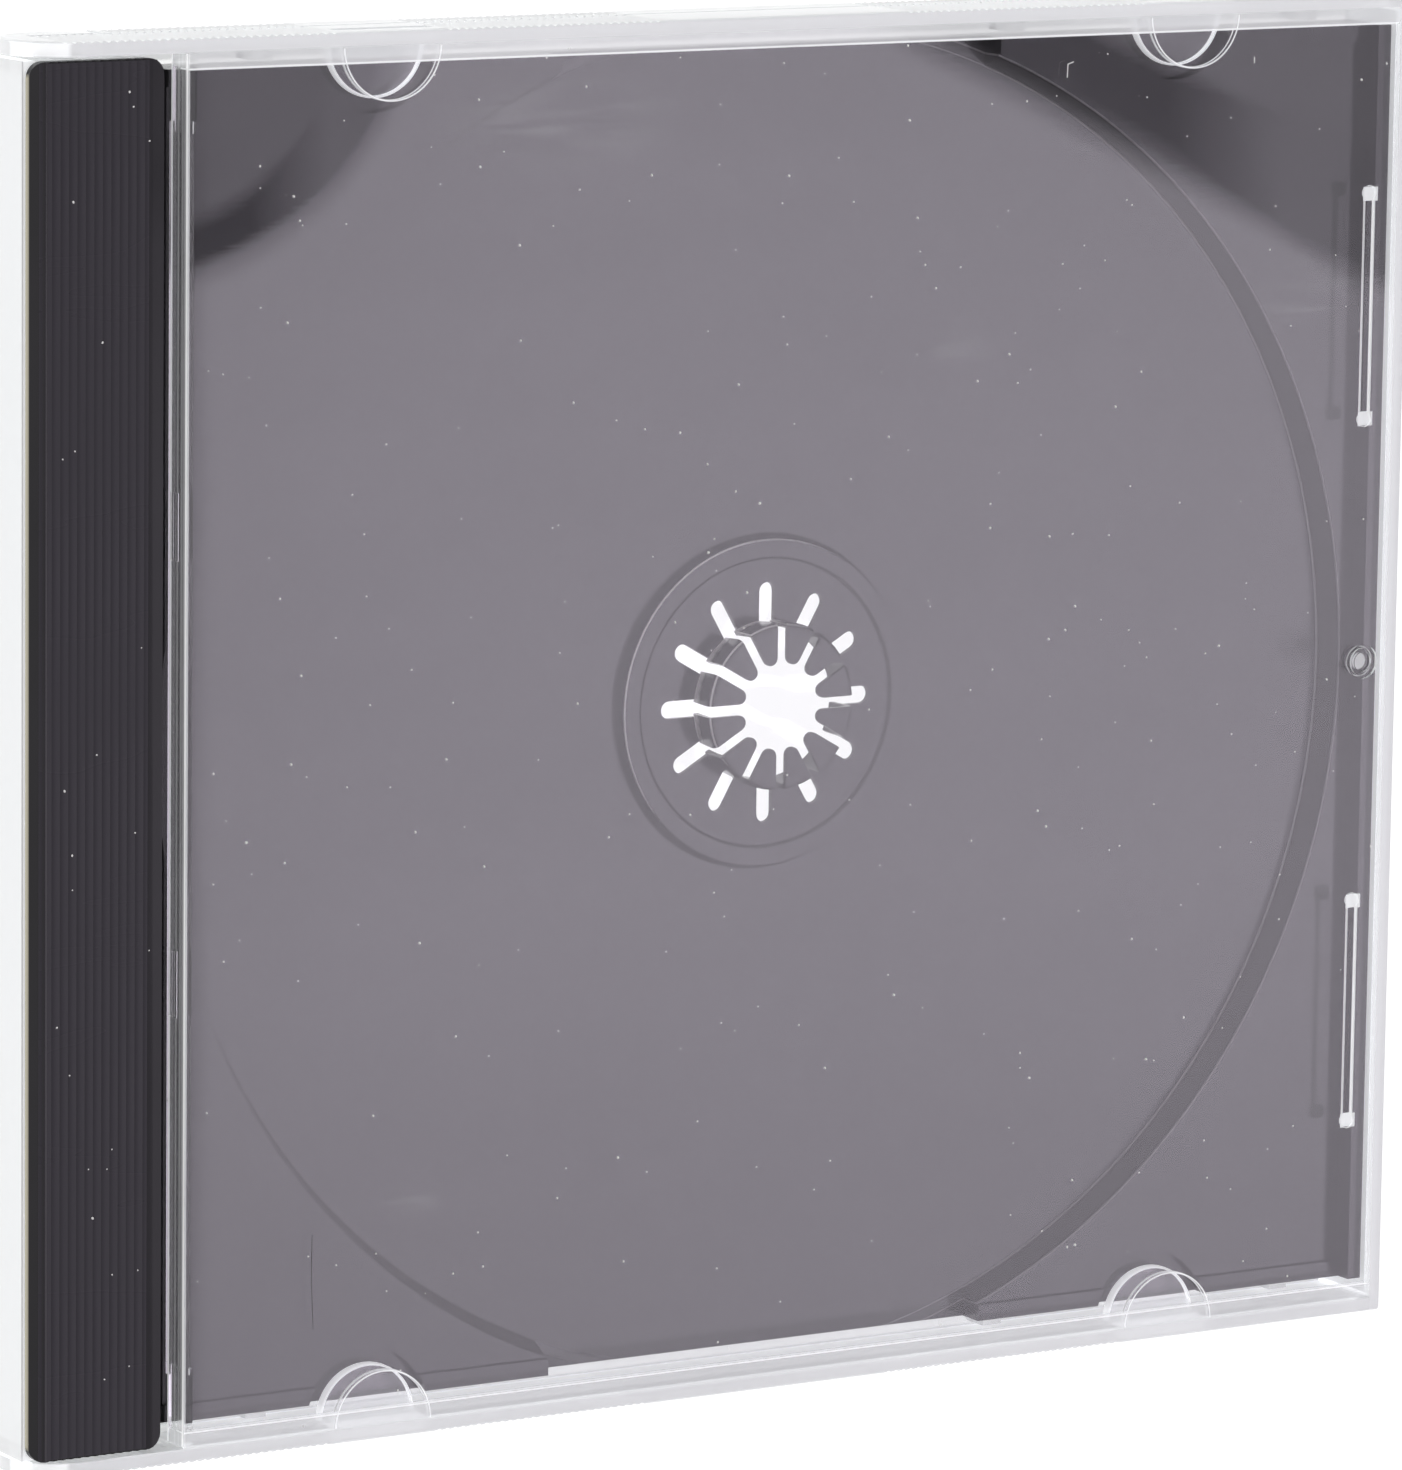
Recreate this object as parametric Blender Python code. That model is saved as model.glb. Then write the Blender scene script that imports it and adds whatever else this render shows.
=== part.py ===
"""Hinged disc case, modelled as its three plastic mouldings.

front_lid   clear lid with side rails, half-moon booklet tabs and hinge ears
back_case   clear back with spine walls, low edge walls and hinge sockets
disc_tray   black tray with the ribbed strip, the disc recess and the toothed hub

The case lies closed on its back. X runs from the hinge side to the opening
side, Y runs along the hinge and Z goes from the back to the lid's outer face.
The origin is the centre of the back's outer face. All sizes are in metres.
"""

import math

import bmesh
import bpy
from mathutils import Matrix, Vector

# Whole case
CASE_HEIGHT = 0.124
CASE_DEPTH = 0.0101
FIT_GAP = 0.0003
EDGE_ROUND = 0.0003

# Disc and its recess in the tray
DISC_RADIUS = 0.060
DISC_CLEARANCE = 0.00075
RECESS_WALL_RUN = 0.001
RECESS_DEPTH = 0.00226
RECESS_TO_STRIP = 0.00145
FINGER_CUT_WIDTH = 0.0456
RECESS_TO_RIDGE = 0.00135

# Clear back
BACK_FLOOR = 0.0012
SPINE_WALL = 0.0012
EDGE_WALL = 0.0012
EDGE_WALL_HEIGHT = 0.0034
SOCKET_WALL = 0.0012
CATCH_LENGTH = 0.002
CATCH_THICKNESS = 0.0009
CATCH_HEIGHT = 0.0029
CATCH_FROM_OPENING = 0.008
CATCH_SPACING = 0.032
CATCH_FROM_LIP = 0.010

# Clear lid
LID_PANEL = 0.0012
RAIL_THICKNESS = 0.00135
LIP_THICKNESS = 0.0009
LIP_TO_DECK = 0.0004
LIP_END_LENGTH = 0.006
LIP_END_THICKNESS = 0.0012
STOP_LENGTH = 0.0059
STOP_HEIGHT = 0.0014
STOP_RELIEF = 0.0003
STOP_SPACING = 0.0398
TAB_RADIUS = 0.0048
TAB_THICKNESS = 0.001
TAB_DROP = 0.0034
LEFT_TAB_INSET = 0.0198
RIGHT_TAB_INSET = 0.0241
WITNESS_DEPTH = 0.0002
BONE_INSET = 0.0038
BONE_START = 0.0226
BONE_LENGTH = 0.021
BONE_WIDTH = 0.001
BONE_END_RADIUS = 0.0007
BONE_HEIGHT = 0.0005
GATE_RADIUS = 0.0016
GATE_RING_WIDTH = 0.0003
GATE_DIMPLE_RADIUS = 0.00095
GATE_DEPTH = 0.0003
GATE_TAIL_LENGTH = 0.0014
GRIP_PITCH = 0.0008
GRIP_DEPTH = 0.0002
GRIP_COUNTS = (33, 27, 32)
GRIP_TO_TAB = 0.0005

# Hinge pins on the lid's ears
PIN_RADIUS = 0.0014
PIN_CLEARANCE = 0.0003
PIN_CHAMFER = 0.0004

# Black tray
TRAY_WALL = 0.001
HUB_COLLAR = 0.0004
TRAY_SIDE_GAP = 0.00165
DECK_TO_LID = 0.0026
BORDER_WIDTH = 0.0015
BORDER_RISE = 0.0004
RIDGE_WIDTH = 0.0014
RIDGE_RISE = 0.002
POCKET_CLEARANCE = 0.0013
POCKET_DEPTH = 0.0009
STRIP_SETBACK = 0.0002
STRIP_WIDTH = 0.0126
STRIP_TO_LID = 0.0022
STRIP_CORNER = 0.0014
STRIP_RIBS = 12
RIB_PITCH = 0.0008
RIB_DEPTH = 0.0002
STRIP_RIGHT_MARGIN = 0.0014
STRIP_EDGE_FALL = 0.0004

# Toothed hub that grips the disc
SEAT_RADIUS = 0.0148
SEAT_RISE = 0.00114
SEAT_WALL_RUN = 0.0004
SEAT_RING_WIDTH = 0.0016
SEAT_RING_RISE = 0.0002
TOOTH_COUNT = 12
HUB_WALL = 0.0005
TOOTH_THICKNESS = 0.0005
TOOTH_ROOT_RADIUS = 0.0074
TOOTH_GRIP_RADIUS = 0.0076
TOOTH_GRIP_RISE = 0.0016
TOOTH_SHOULDER_RADIUS = 0.0005
TOOTH_CROWN_RISE = 0.00266
TOOTH_TIP_RADIUS = 0.0039
TOOTH_GAP = 0.001
SLOT_WIDTH = 0.0016
SLOT_REACH = 0.0109

RECESS_SEGMENTS = 112
HUB_SEGMENTS = 72
TEETH_SEGMENTS = 48
TIP_STEPS = 6
ROUND_SEGMENTS = 24
OVERLAP = 0.0005
MERGE_DISTANCE = 1e-7
TIDY_DISTANCE = 2e-6
TOLERANCE = 1e-6
SHARP_ANGLE = 30

# Colours
CLEAR_COLOUR = (0.90, 0.90, 0.93)
CLEAR_ALPHA = 0.25
CLEAR_ROUGHNESS = 0.05
BLACK_COLOUR = (0.03, 0.03, 0.035)
BLACK_ROUGHNESS = 0.25

# Places that follow from the sizes
recess_floor_radius = DISC_RADIUS + DISC_CLEARANCE
recess_rim_radius = recess_floor_radius + RECESS_WALL_RUN
case_length = (STRIP_SETBACK + STRIP_WIDTH + RECESS_TO_STRIP + 2 * recess_rim_radius
               + RECESS_TO_RIDGE + RIDGE_WIDTH + FIT_GAP + SPINE_WALL)
left_x = -case_length / 2
right_x = case_length / 2
half_height = CASE_HEIGHT / 2

ear_radius = CASE_DEPTH / 2
hinge_x = left_x + ear_radius
hinge_z = CASE_DEPTH / 2
rail_inner_y = half_height - RAIL_THICKNESS
rail_bottom_z = EDGE_WALL_HEIGHT + FIT_GAP
lid_inner_z = CASE_DEPTH - LID_PANEL

strip_left_x = left_x + STRIP_SETBACK
strip_right_x = strip_left_x + STRIP_WIDTH
strip_top_z = CASE_DEPTH - STRIP_SETBACK
strip_half_height = rail_inner_y - FIT_GAP
lid_left_x = strip_right_x + STRIP_TO_LID

tray_right_x = right_x - SPINE_WALL - FIT_GAP
ridge_left_x = tray_right_x - RIDGE_WIDTH
tray_half_height = rail_inner_y - TRAY_SIDE_GAP
deck_z = lid_inner_z - DECK_TO_LID
border_z = deck_z + BORDER_RISE
border_inner_y = tray_half_height - BORDER_WIDTH
recess_floor_z = deck_z - RECESS_DEPTH
tray_bottom_z = BACK_FLOOR + FIT_GAP

hub_x = ridge_left_x - RECESS_TO_RIDGE - recess_rim_radius
seat_z = recess_floor_z + SEAT_RISE
tab_xs = (lid_left_x + LEFT_TAB_INSET, right_x - RIGHT_TAB_INSET)
outer_catch_x = right_x - CATCH_FROM_OPENING
catch_xs = (lid_left_x + CATCH_FROM_LIP, outer_catch_x - CATCH_SPACING, outer_catch_x)
tab_bottom_z = CASE_DEPTH - TAB_DROP - TAB_THICKNESS
tab_top_z = CASE_DEPTH - TAB_DROP
pocket_radius = TAB_RADIUS + POCKET_CLEARANCE
pocket_floor_z = deck_z - POCKET_DEPTH


def clear_scene():
    """Remove whatever objects the file holds."""
    for existing in list(bpy.data.objects):
        bpy.data.objects.remove(existing, do_unlink=True)


def plastic(name, colour, roughness, alpha):
    """A moulded plastic, clear where alpha is low."""
    material = bpy.data.materials.new(name)
    material.use_nodes = True
    shader = material.node_tree.nodes["Principled BSDF"]
    shader.inputs["Base Color"].default_value = (*colour, 1.0)
    shader.inputs["Roughness"].default_value = roughness
    shader.inputs["Metallic"].default_value = 0.0
    shader.inputs["Alpha"].default_value = alpha
    material.diffuse_color = (*colour, alpha)
    return material


def object_from(name, mesh_builder):
    """Turn a bmesh into an object, with its faces pointing out."""
    bmesh.ops.remove_doubles(mesh_builder, verts=mesh_builder.verts, dist=MERGE_DISTANCE)
    bmesh.ops.recalc_face_normals(mesh_builder, faces=mesh_builder.faces)
    mesh = bpy.data.meshes.new(name)
    mesh_builder.to_mesh(mesh)
    mesh_builder.free()
    result = bpy.data.objects.new(name, mesh)
    bpy.context.scene.collection.objects.link(result)
    return result


def block(x_range, y_range, z_range):
    """A box between two corners."""
    size = Vector((x_range[1] - x_range[0], y_range[1] - y_range[0], z_range[1] - z_range[0]))
    centre = Vector((sum(x_range), sum(y_range), sum(z_range))) / 2
    builder = bmesh.new()
    bmesh.ops.create_cube(builder, size=1.0)
    bmesh.ops.scale(builder, vec=size, verts=builder.verts)
    bmesh.ops.translate(builder, vec=centre, verts=builder.verts)
    return object_from("block", builder)


def extrusion(outline, low, high, axis="Z"):
    """Extrude a flat outline of (a, b) points along one axis, from low to high."""
    lift = {
        "X": lambda a, b: (low, a, b),
        "Y": lambda a, b: (a, low, b),
        "Z": lambda a, b: (a, b, low),
    }[axis]
    travel = {"X": (1, 0, 0), "Y": (0, 1, 0), "Z": (0, 0, 1)}[axis]
    builder = bmesh.new()
    face = builder.faces.new([builder.verts.new(lift(a, b)) for a, b in outline])
    grown = bmesh.ops.extrude_face_region(builder, geom=[face])
    moved = [item for item in grown["geom"] if isinstance(item, bmesh.types.BMVert)]
    bmesh.ops.translate(builder, vec=Vector(travel) * (high - low), verts=moved)
    return object_from("extrusion", builder)


def turned(profile, centre, segments, axis="Z"):
    """Turn a closed (radius, height) profile about an axis through centre."""
    builder = bmesh.new()
    ring = [builder.verts.new((radius, 0.0, height)) for radius, height in profile]
    edges = []
    for start, end in zip(ring, ring[1:] + ring[:1]):
        if max(start.co.x, end.co.x) > 0:
            edges.append(builder.edges.new((start, end)))
    bmesh.ops.spin(builder, geom=ring + edges, cent=(0, 0, 0), axis=(0, 0, 1),
                   angle=2 * math.pi, steps=segments, use_merge=True, use_duplicate=False)
    bmesh.ops.remove_doubles(builder, verts=builder.verts, dist=MERGE_DISTANCE)
    bmesh.ops.dissolve_degenerate(builder, edges=builder.edges, dist=MERGE_DISTANCE)
    half_step = Matrix.Rotation(math.pi / segments, 3, "Z")
    bmesh.ops.rotate(builder, matrix=half_step, verts=builder.verts)
    if axis == "Y":
        bmesh.ops.rotate(builder, matrix=Matrix.Rotation(-math.pi / 2, 3, "X"), verts=builder.verts)
    bmesh.ops.translate(builder, vec=Vector(centre), verts=builder.verts)
    return object_from("turned", builder)


def arc(centre, radius, start, end, steps):
    """Points on an arc, with angles in degrees."""
    points = []
    for step in range(steps + 1):
        angle = math.radians(start + (end - start) * step / steps)
        points.append((centre[0] + radius * math.cos(angle), centre[1] + radius * math.sin(angle)))
    return points


def rounded_box(x_range, y_range, radius, steps=6):
    """Outline of a rectangle with round corners."""
    corners = (
        (x_range[1] - radius, y_range[1] - radius, 0),
        (x_range[0] + radius, y_range[1] - radius, 90),
        (x_range[0] + radius, y_range[0] + radius, 180),
        (x_range[1] - radius, y_range[0] + radius, 270),
    )
    points = []
    for x, y, start in corners:
        points += arc((x, y), radius, start, start + 90, steps)
    return points


def combine(target, tool, operation):
    """Join, cut or intersect the target with a tool, and use the tool up."""
    modifier = target.modifiers.new("shape", "BOOLEAN")
    modifier.operation = operation
    modifier.solver = "EXACT"
    modifier.object = tool
    bpy.context.view_layer.update()
    depsgraph = bpy.context.evaluated_depsgraph_get()
    result = bpy.data.meshes.new_from_object(target.evaluated_get(depsgraph))
    target.modifiers.remove(modifier)
    target.data = result
    bpy.data.objects.remove(tool, do_unlink=True)
    return target


def join(target, *tools):
    """Join tools to the target one after another."""
    for tool in tools:
        combine(target, tool, "UNION")
    return target


def cut(target, *tools):
    """Cut tools out of the target one after another."""
    for tool in tools:
        combine(target, tool, "DIFFERENCE")
    return target


def bevel_edges(target, chosen, width, segments=2):
    """Round the edges for which chosen(middle, direction) is true."""
    builder = bmesh.new()
    builder.from_mesh(target.data)
    edges = []
    for edge in builder.edges:
        start, end = edge.verts[0].co, edge.verts[1].co
        if chosen((start + end) / 2, (end - start).normalized()):
            edges.append(edge)
    bmesh.ops.bevel(builder, geom=edges, offset=width, segments=segments, profile=0.5,
                    affect="EDGES", clamp_overlap=True)
    builder.to_mesh(target.data)
    builder.free()
    return target


def finish(target, name, colour, roughness, alpha=1.0):
    """Tidy a moulding's mesh, name it and give it its plastic."""
    builder = bmesh.new()
    builder.from_mesh(target.data)
    bmesh.ops.remove_doubles(builder, verts=builder.verts, dist=TIDY_DISTANCE)
    bmesh.ops.dissolve_degenerate(builder, edges=builder.edges, dist=TIDY_DISTANCE)
    bmesh.ops.triangulate(builder, faces=builder.faces)
    builder.to_mesh(target.data)
    builder.free()
    target.name = name
    target.data.name = name
    target.data.materials.clear()
    target.data.materials.append(plastic(name, colour, roughness, alpha))
    target.data.shade_smooth()
    target.data.set_sharp_from_angle(angle=math.radians(SHARP_ANGLE))
    return target


def half_moon(centre_x, side, radius, z_range):
    """A half-moon that grows from a rail's inner face towards the middle of the case."""
    outline = arc((centre_x, 0.0), radius, 180, 360, ROUND_SEGMENTS)
    outline += [(centre_x + radius, OVERLAP), (centre_x - radius, OVERLAP)]
    placed = [(x, side * (rail_inner_y + y)) for x, y in outline]
    return extrusion(placed, *z_range)


def grip_grooves(start_x, count, side, z_range):
    """A row of V grooves across an edge face, for the fingers."""
    outline = []
    for index in range(count):
        x = start_x + index * GRIP_PITCH
        outline.append((x, half_height))
        outline.append((x + GRIP_PITCH / 2, half_height - GRIP_DEPTH))
    outline.append((start_x + count * GRIP_PITCH, half_height))
    outline.append((start_x + count * GRIP_PITCH, half_height + OVERLAP))
    outline.append((start_x, half_height + OVERLAP))
    return extrusion([(x, side * y) for x, y in outline], *z_range)


def hinge_pin(side):
    """The short pin on an ear's inner face, with a chamfer that lets it snap in."""
    length = FIT_GAP + SOCKET_WALL
    pin = turned(
        [(0, -length), (PIN_RADIUS - PIN_CHAMFER, -length), (PIN_RADIUS, PIN_CHAMFER - length),
         (PIN_RADIUS, OVERLAP), (0, OVERLAP)],
        (0, 0, 0), ROUND_SEGMENTS, axis="Y")
    if side < 0:
        pin.data.transform(Matrix.Rotation(math.pi, 4, "Z"))
    pin.data.transform(Matrix.Translation((hinge_x, side * rail_inner_y, hinge_z)))
    return pin


def lid_shell():
    """Panel, rails and round ears, open on the hinge side where the strip shows."""
    meet = math.degrees(math.asin((hinge_z - rail_bottom_z) / ear_radius))
    outline = arc((hinge_x, hinge_z), ear_radius, 90, 360 - meet, 2 * ROUND_SEGMENTS)
    outline += [(right_x, rail_bottom_z), (right_x, CASE_DEPTH)]
    shell = extrusion(outline, -half_height, half_height, axis="Y")

    def outer_edge(middle, direction):
        at_side = abs(middle.y) > half_height - TOLERANCE
        at_opening = middle.x > right_x - TOLERANCE and middle.z > CASE_DEPTH - TOLERANCE
        return at_side or at_opening

    bevel_edges(shell, outer_edge, EDGE_ROUND)
    beyond = 2 * EDGE_ROUND
    return cut(
        shell,
        block((left_x - beyond, right_x + beyond), (-rail_inner_y, rail_inner_y), (-beyond, lid_inner_z)),
        block((left_x - beyond, lid_left_x), (-rail_inner_y, rail_inner_y), (0, CASE_DEPTH + beyond)))


def lid_lip():
    """The low wall down the panel's hinge edge, with two booklet stops."""
    top_z = CASE_DEPTH - LID_PANEL / 2
    x_range = (lid_left_x, lid_left_x + LIP_THICKNESS)
    low_z = deck_z + LIP_TO_DECK
    end_y = rail_inner_y - LIP_END_LENGTH
    lip = block(x_range, (-end_y, end_y), (low_z, top_z))
    stop_low = low_z + STOP_RELIEF
    for side in (-1, 1):
        end_range = sorted((side * (end_y - LIP_THICKNESS), side * (rail_inner_y + OVERLAP)))
        join(lip, block((lid_left_x, lid_left_x + LIP_END_THICKNESS), end_range, (border_z + FIT_GAP, top_z)))
        middle = side * STOP_SPACING / 2
        cut(lip, block((lid_left_x - OVERLAP, lid_left_x + STOP_RELIEF),
                       (middle - STOP_LENGTH / 2, middle + STOP_LENGTH / 2),
                       (stop_low, stop_low + STOP_HEIGHT)))
    return lip


def lid_bone(side):
    """A thin rib under the panel near its opening edge, with a round pad at each end."""
    x = right_x - BONE_INSET
    waist = math.degrees(math.asin(BONE_WIDTH / 2 / BONE_END_RADIUS))
    near, far = BONE_START, BONE_START + BONE_LENGTH
    outline = arc((x, near), BONE_END_RADIUS, 90 + waist, 450 - waist, ROUND_SEGMENTS // 3)
    outline += arc((x, far), BONE_END_RADIUS, -90 + waist, 270 - waist, ROUND_SEGMENTS // 3)
    placed = [(a, side * b) for a, b in outline]
    return extrusion(placed, lid_inner_z - BONE_HEIGHT, lid_inner_z + OVERLAP)


def gate_mark(lid):
    """The ring, dimple and tail left in the lid's face where the plastic went in."""
    centre = (right_x - BONE_INSET, 0, 0)
    low, high = CASE_DEPTH - GATE_DEPTH, CASE_DEPTH + OVERLAP
    inner = GATE_RADIUS - GATE_RING_WIDTH
    ring = turned([(inner, low), (GATE_RADIUS, low), (GATE_RADIUS, high), (inner, high)],
                  centre, ROUND_SEGMENTS)
    dimple = turned([(0, low), (GATE_DIMPLE_RADIUS, low), (GATE_DIMPLE_RADIUS, high), (0, high)],
                    centre, ROUND_SEGMENTS)
    tail_x = centre[0] - GATE_RADIUS
    tail = block((tail_x - GATE_TAIL_LENGTH + GATE_RING_WIDTH, tail_x + GATE_RING_WIDTH / 2),
                 (-GATE_RING_WIDTH, GATE_RING_WIDTH), (low + GATE_DEPTH / 2, high))
    return cut(lid, ring, dimple, tail)


def cut_grips(target, first_x, z_range):
    """Cut the finger grips that lie beyond first_x into both edges, clear of the tabs."""
    first_start = tab_xs[0] - TAB_RADIUS - GRIP_TO_TAB - GRIP_COUNTS[0] * GRIP_PITCH
    second_start = tab_xs[0] + TAB_RADIUS + GRIP_TO_TAB
    third_start = tab_xs[1] - TAB_RADIUS - GRIP_TO_TAB - GRIP_COUNTS[2] * GRIP_PITCH
    for side in (-1, 1):
        for start, count in zip((first_start, second_start, third_start), GRIP_COUNTS):
            hidden = max(0, math.ceil((first_x - start) / GRIP_PITCH))
            if hidden < count:
                cut(target, grip_grooves(start + hidden * GRIP_PITCH, count - hidden, side, z_range))
    return target


def build_lid():
    """The clear lid, with its origin on the hinge axis."""
    lid = lid_shell()
    join(lid, lid_lip(), hinge_pin(1), hinge_pin(-1))
    for side in (-1, 1):
        for x in tab_xs:
            join(lid, half_moon(x, side, TAB_RADIUS, (tab_bottom_z, tab_top_z)))
            window_y = sorted((side * (rail_inner_y - OVERLAP), side * (half_height + OVERLAP)))
            cut(lid, block((x - TAB_RADIUS, x + TAB_RADIUS), window_y,
                           (tab_top_z + FIT_GAP, lid_inner_z - FIT_GAP)))
            cut(lid, half_moon(x, side, TAB_RADIUS, (lid_inner_z - OVERLAP, lid_inner_z + WITNESS_DEPTH)))
        join(lid, lid_bone(side))
    gate_mark(lid)
    cut_grips(lid, left_x + EDGE_ROUND, (rail_bottom_z - OVERLAP, CASE_DEPTH + OVERLAP))
    finish(lid, "front_lid", CLEAR_COLOUR, CLEAR_ROUGHNESS, CLEAR_ALPHA)
    lid.data.transform(Matrix.Translation((-hinge_x, 0, -hinge_z)))
    lid.location = (hinge_x, 0, hinge_z)
    return lid


def build_back():
    """The clear back: a floor with spine walls, low edge walls and socket walls."""
    ear_clear_x = hinge_x + ear_radius + FIT_GAP
    outline = [(left_x, -strip_half_height), (ear_clear_x, -strip_half_height),
               (ear_clear_x, -half_height), (right_x, -half_height),
               (right_x, half_height), (ear_clear_x, half_height),
               (ear_clear_x, strip_half_height), (left_x, strip_half_height)]
    back = extrusion(outline, 0, EDGE_WALL_HEIGHT)

    def outer_edge(middle, direction):
        at_base = middle.z < TOLERANCE and middle.x > ear_clear_x + TOLERANCE
        at_corner = middle.x > right_x - TOLERANCE and abs(direction.z) > 0.9
        return at_base or at_corner

    bevel_edges(back, outer_edge, EDGE_ROUND)
    cut(back, block((left_x - OVERLAP, right_x + OVERLAP),
                    (-half_height + EDGE_WALL, half_height - EDGE_WALL),
                    (BACK_FLOOR, EDGE_WALL_HEIGHT + OVERLAP)))
    root_z = BACK_FLOOR / 2
    wall_top_left = strip_top_z - TRAY_WALL - FIT_GAP
    wall_top_right = lid_inner_z - FIT_GAP
    join(back, block((right_x - SPINE_WALL, right_x),
                     (-strip_half_height, strip_half_height), (root_z, wall_top_right)))
    spine = block((left_x, left_x + SPINE_WALL),
                  (-strip_half_height, strip_half_height), (root_z, wall_top_left))
    for side in (-1, 1):
        y_range = sorted((side * strip_half_height, side * (strip_half_height - SOCKET_WALL)))
        wall = block((left_x, ear_clear_x + SOCKET_WALL), y_range, (root_z, wall_top_left))
        reach = SOCKET_WALL + OVERLAP
        socket = turned([(0, -reach), (PIN_RADIUS + PIN_CLEARANCE, -reach),
                         (PIN_RADIUS + PIN_CLEARANCE, reach), (0, reach)],
                        (hinge_x, side * strip_half_height, hinge_z), ROUND_SEGMENTS, axis="Y")
        join(spine, cut(wall, socket))
        catch_y = sorted((side * (tray_half_height + FIT_GAP),
                          side * (tray_half_height + FIT_GAP + CATCH_THICKNESS)))
        for x in catch_xs:
            join(back, block((x - CATCH_LENGTH / 2, x + CATCH_LENGTH / 2), catch_y,
                             (root_z, BACK_FLOOR + CATCH_HEIGHT)))
    join(back, spine)
    cut_grips(back, ear_clear_x + EDGE_ROUND, (-OVERLAP, EDGE_WALL_HEIGHT + OVERLAP))
    return finish(back, "back_case", CLEAR_COLOUR, CLEAR_ROUGHNESS, CLEAR_ALPHA)


def recess_form(growth):
    """The disc recess as a solid; growth makes the larger form for the tray's underside."""
    floor_z = recess_floor_z - growth
    top_z = border_z + OVERLAP
    slope = RECESS_WALL_RUN / RECESS_DEPTH
    top_radius = recess_floor_radius + growth + slope * (top_z - floor_z)
    form = turned([(0, floor_z), (recess_floor_radius + growth, floor_z), (top_radius, top_z), (0, top_z)],
                  (hub_x, 0, 0), RECESS_SEGMENTS)
    mouth = FINGER_CUT_WIDTH / 2 + growth
    reach = tray_half_height + OVERLAP
    join(form, block((hub_x - mouth, hub_x + mouth), (-reach, reach), (floor_z, top_z)))
    return form


def tray_body():
    """The tray's deck, border and ridge as one shell of even wall, open below."""
    left = strip_right_x - TRAY_WALL / 2
    body = block((left, tray_right_x), (-tray_half_height, tray_half_height), (tray_bottom_z, border_z))
    high = border_z + OVERLAP
    cut(body, block((left - OVERLAP, tray_right_x + OVERLAP),
                    (-border_inner_y, border_inner_y), (deck_z, high)))
    join(body, block((ridge_left_x, tray_right_x), (-tray_half_height, tray_half_height),
                     (tray_bottom_z, deck_z + RIDGE_RISE)))
    cut(body, recess_form(0.0))
    for side in (-1, 1):
        for x in tab_xs:
            cut(body, half_moon(x, side, pocket_radius, (pocket_floor_z, high)))

    hollow = block((left + TRAY_WALL, tray_right_x - TRAY_WALL),
                   (-tray_half_height + TRAY_WALL, tray_half_height - TRAY_WALL),
                   (tray_bottom_z - OVERLAP, deck_z - TRAY_WALL))
    cut(hollow, recess_form(TRAY_WALL))
    for side in (-1, 1):
        for x in tab_xs:
            cut(hollow, half_moon(x, side, pocket_radius + TRAY_WALL, (pocket_floor_z - TRAY_WALL, high)))
    cut(body, hollow)
    return body


def tray_strip():
    """The ribbed strip beside the hinge, with the wall that joins it to the deck."""
    outline = rounded_box((strip_left_x, strip_right_x),
                          (-strip_half_height, strip_half_height), STRIP_CORNER)
    strip = extrusion(outline, strip_top_z - TRAY_WALL, strip_top_z)
    rib_start = strip_right_x - STRIP_RIGHT_MARGIN - STRIP_RIBS * RIB_PITCH
    reach = strip_half_height + OVERLAP
    profile = [(rib_start, strip_top_z + OVERLAP)]
    for index in range(STRIP_RIBS):
        x = rib_start + index * RIB_PITCH
        profile.append((x, strip_top_z))
        profile.append((x + RIB_PITCH / 2, strip_top_z - RIB_DEPTH))
    profile.append((rib_start + STRIP_RIBS * RIB_PITCH, strip_top_z))
    profile.append((rib_start + STRIP_RIBS * RIB_PITCH, strip_top_z + OVERLAP))
    cut(strip, extrusion(profile, -reach, reach, axis="Y"))
    fall_start = rib_start - RIB_PITCH / 2
    slope = STRIP_EDGE_FALL / (fall_start - strip_left_x)
    edge_fall = [(fall_start, strip_top_z), (fall_start, strip_top_z + OVERLAP),
                 (strip_left_x - OVERLAP, strip_top_z + OVERLAP),
                 (strip_left_x - OVERLAP, strip_top_z - STRIP_EDGE_FALL - slope * OVERLAP)]
    cut(strip, extrusion(edge_fall, -reach, reach, axis="Y"))
    wall = block((strip_right_x - TRAY_WALL, strip_right_x), (-border_inner_y, border_inner_y),
                 (tray_bottom_z, strip_top_z - TRAY_WALL / 2))
    join(strip, wall)
    return strip


def in_ring(points, turn):
    """Plan points given along a spoke of the hub, turned to the spoke's angle in degrees."""
    spoke = Matrix.Rotation(math.radians(turn), 2)
    return [(hub_x + place.x, place.y) for place in (spoke @ Vector(point) for point in points)]


def teeth_cup():
    """The hub's upstanding wall, its gripping bulge and its flat crown, as one round cup."""
    root_z = seat_z - SEAT_RING_RISE - HUB_WALL / 2
    grip_z = seat_z + TOOTH_GRIP_RISE
    crown_z = seat_z + TOOTH_CROWN_RISE
    edge_radius = TOOTH_GRIP_RADIUS - TOOTH_SHOULDER_RADIUS
    outside = [(TOOTH_ROOT_RADIUS, root_z), (TOOTH_GRIP_RADIUS, grip_z)]
    outside += arc((edge_radius, crown_z - TOOTH_SHOULDER_RADIUS), TOOTH_SHOULDER_RADIUS, 0, 90, 3)
    inside = [(TOOTH_TIP_RADIUS / 2, crown_z), (TOOTH_TIP_RADIUS / 2, crown_z - TOOTH_THICKNESS),
              (edge_radius, crown_z - TOOTH_THICKNESS),
              (TOOTH_GRIP_RADIUS - TOOTH_THICKNESS, grip_z),
              (TOOTH_ROOT_RADIUS - TOOTH_THICKNESS, root_z)]
    return turned(outside + inside, (hub_x, 0, 0), TEETH_SEGMENTS)


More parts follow.
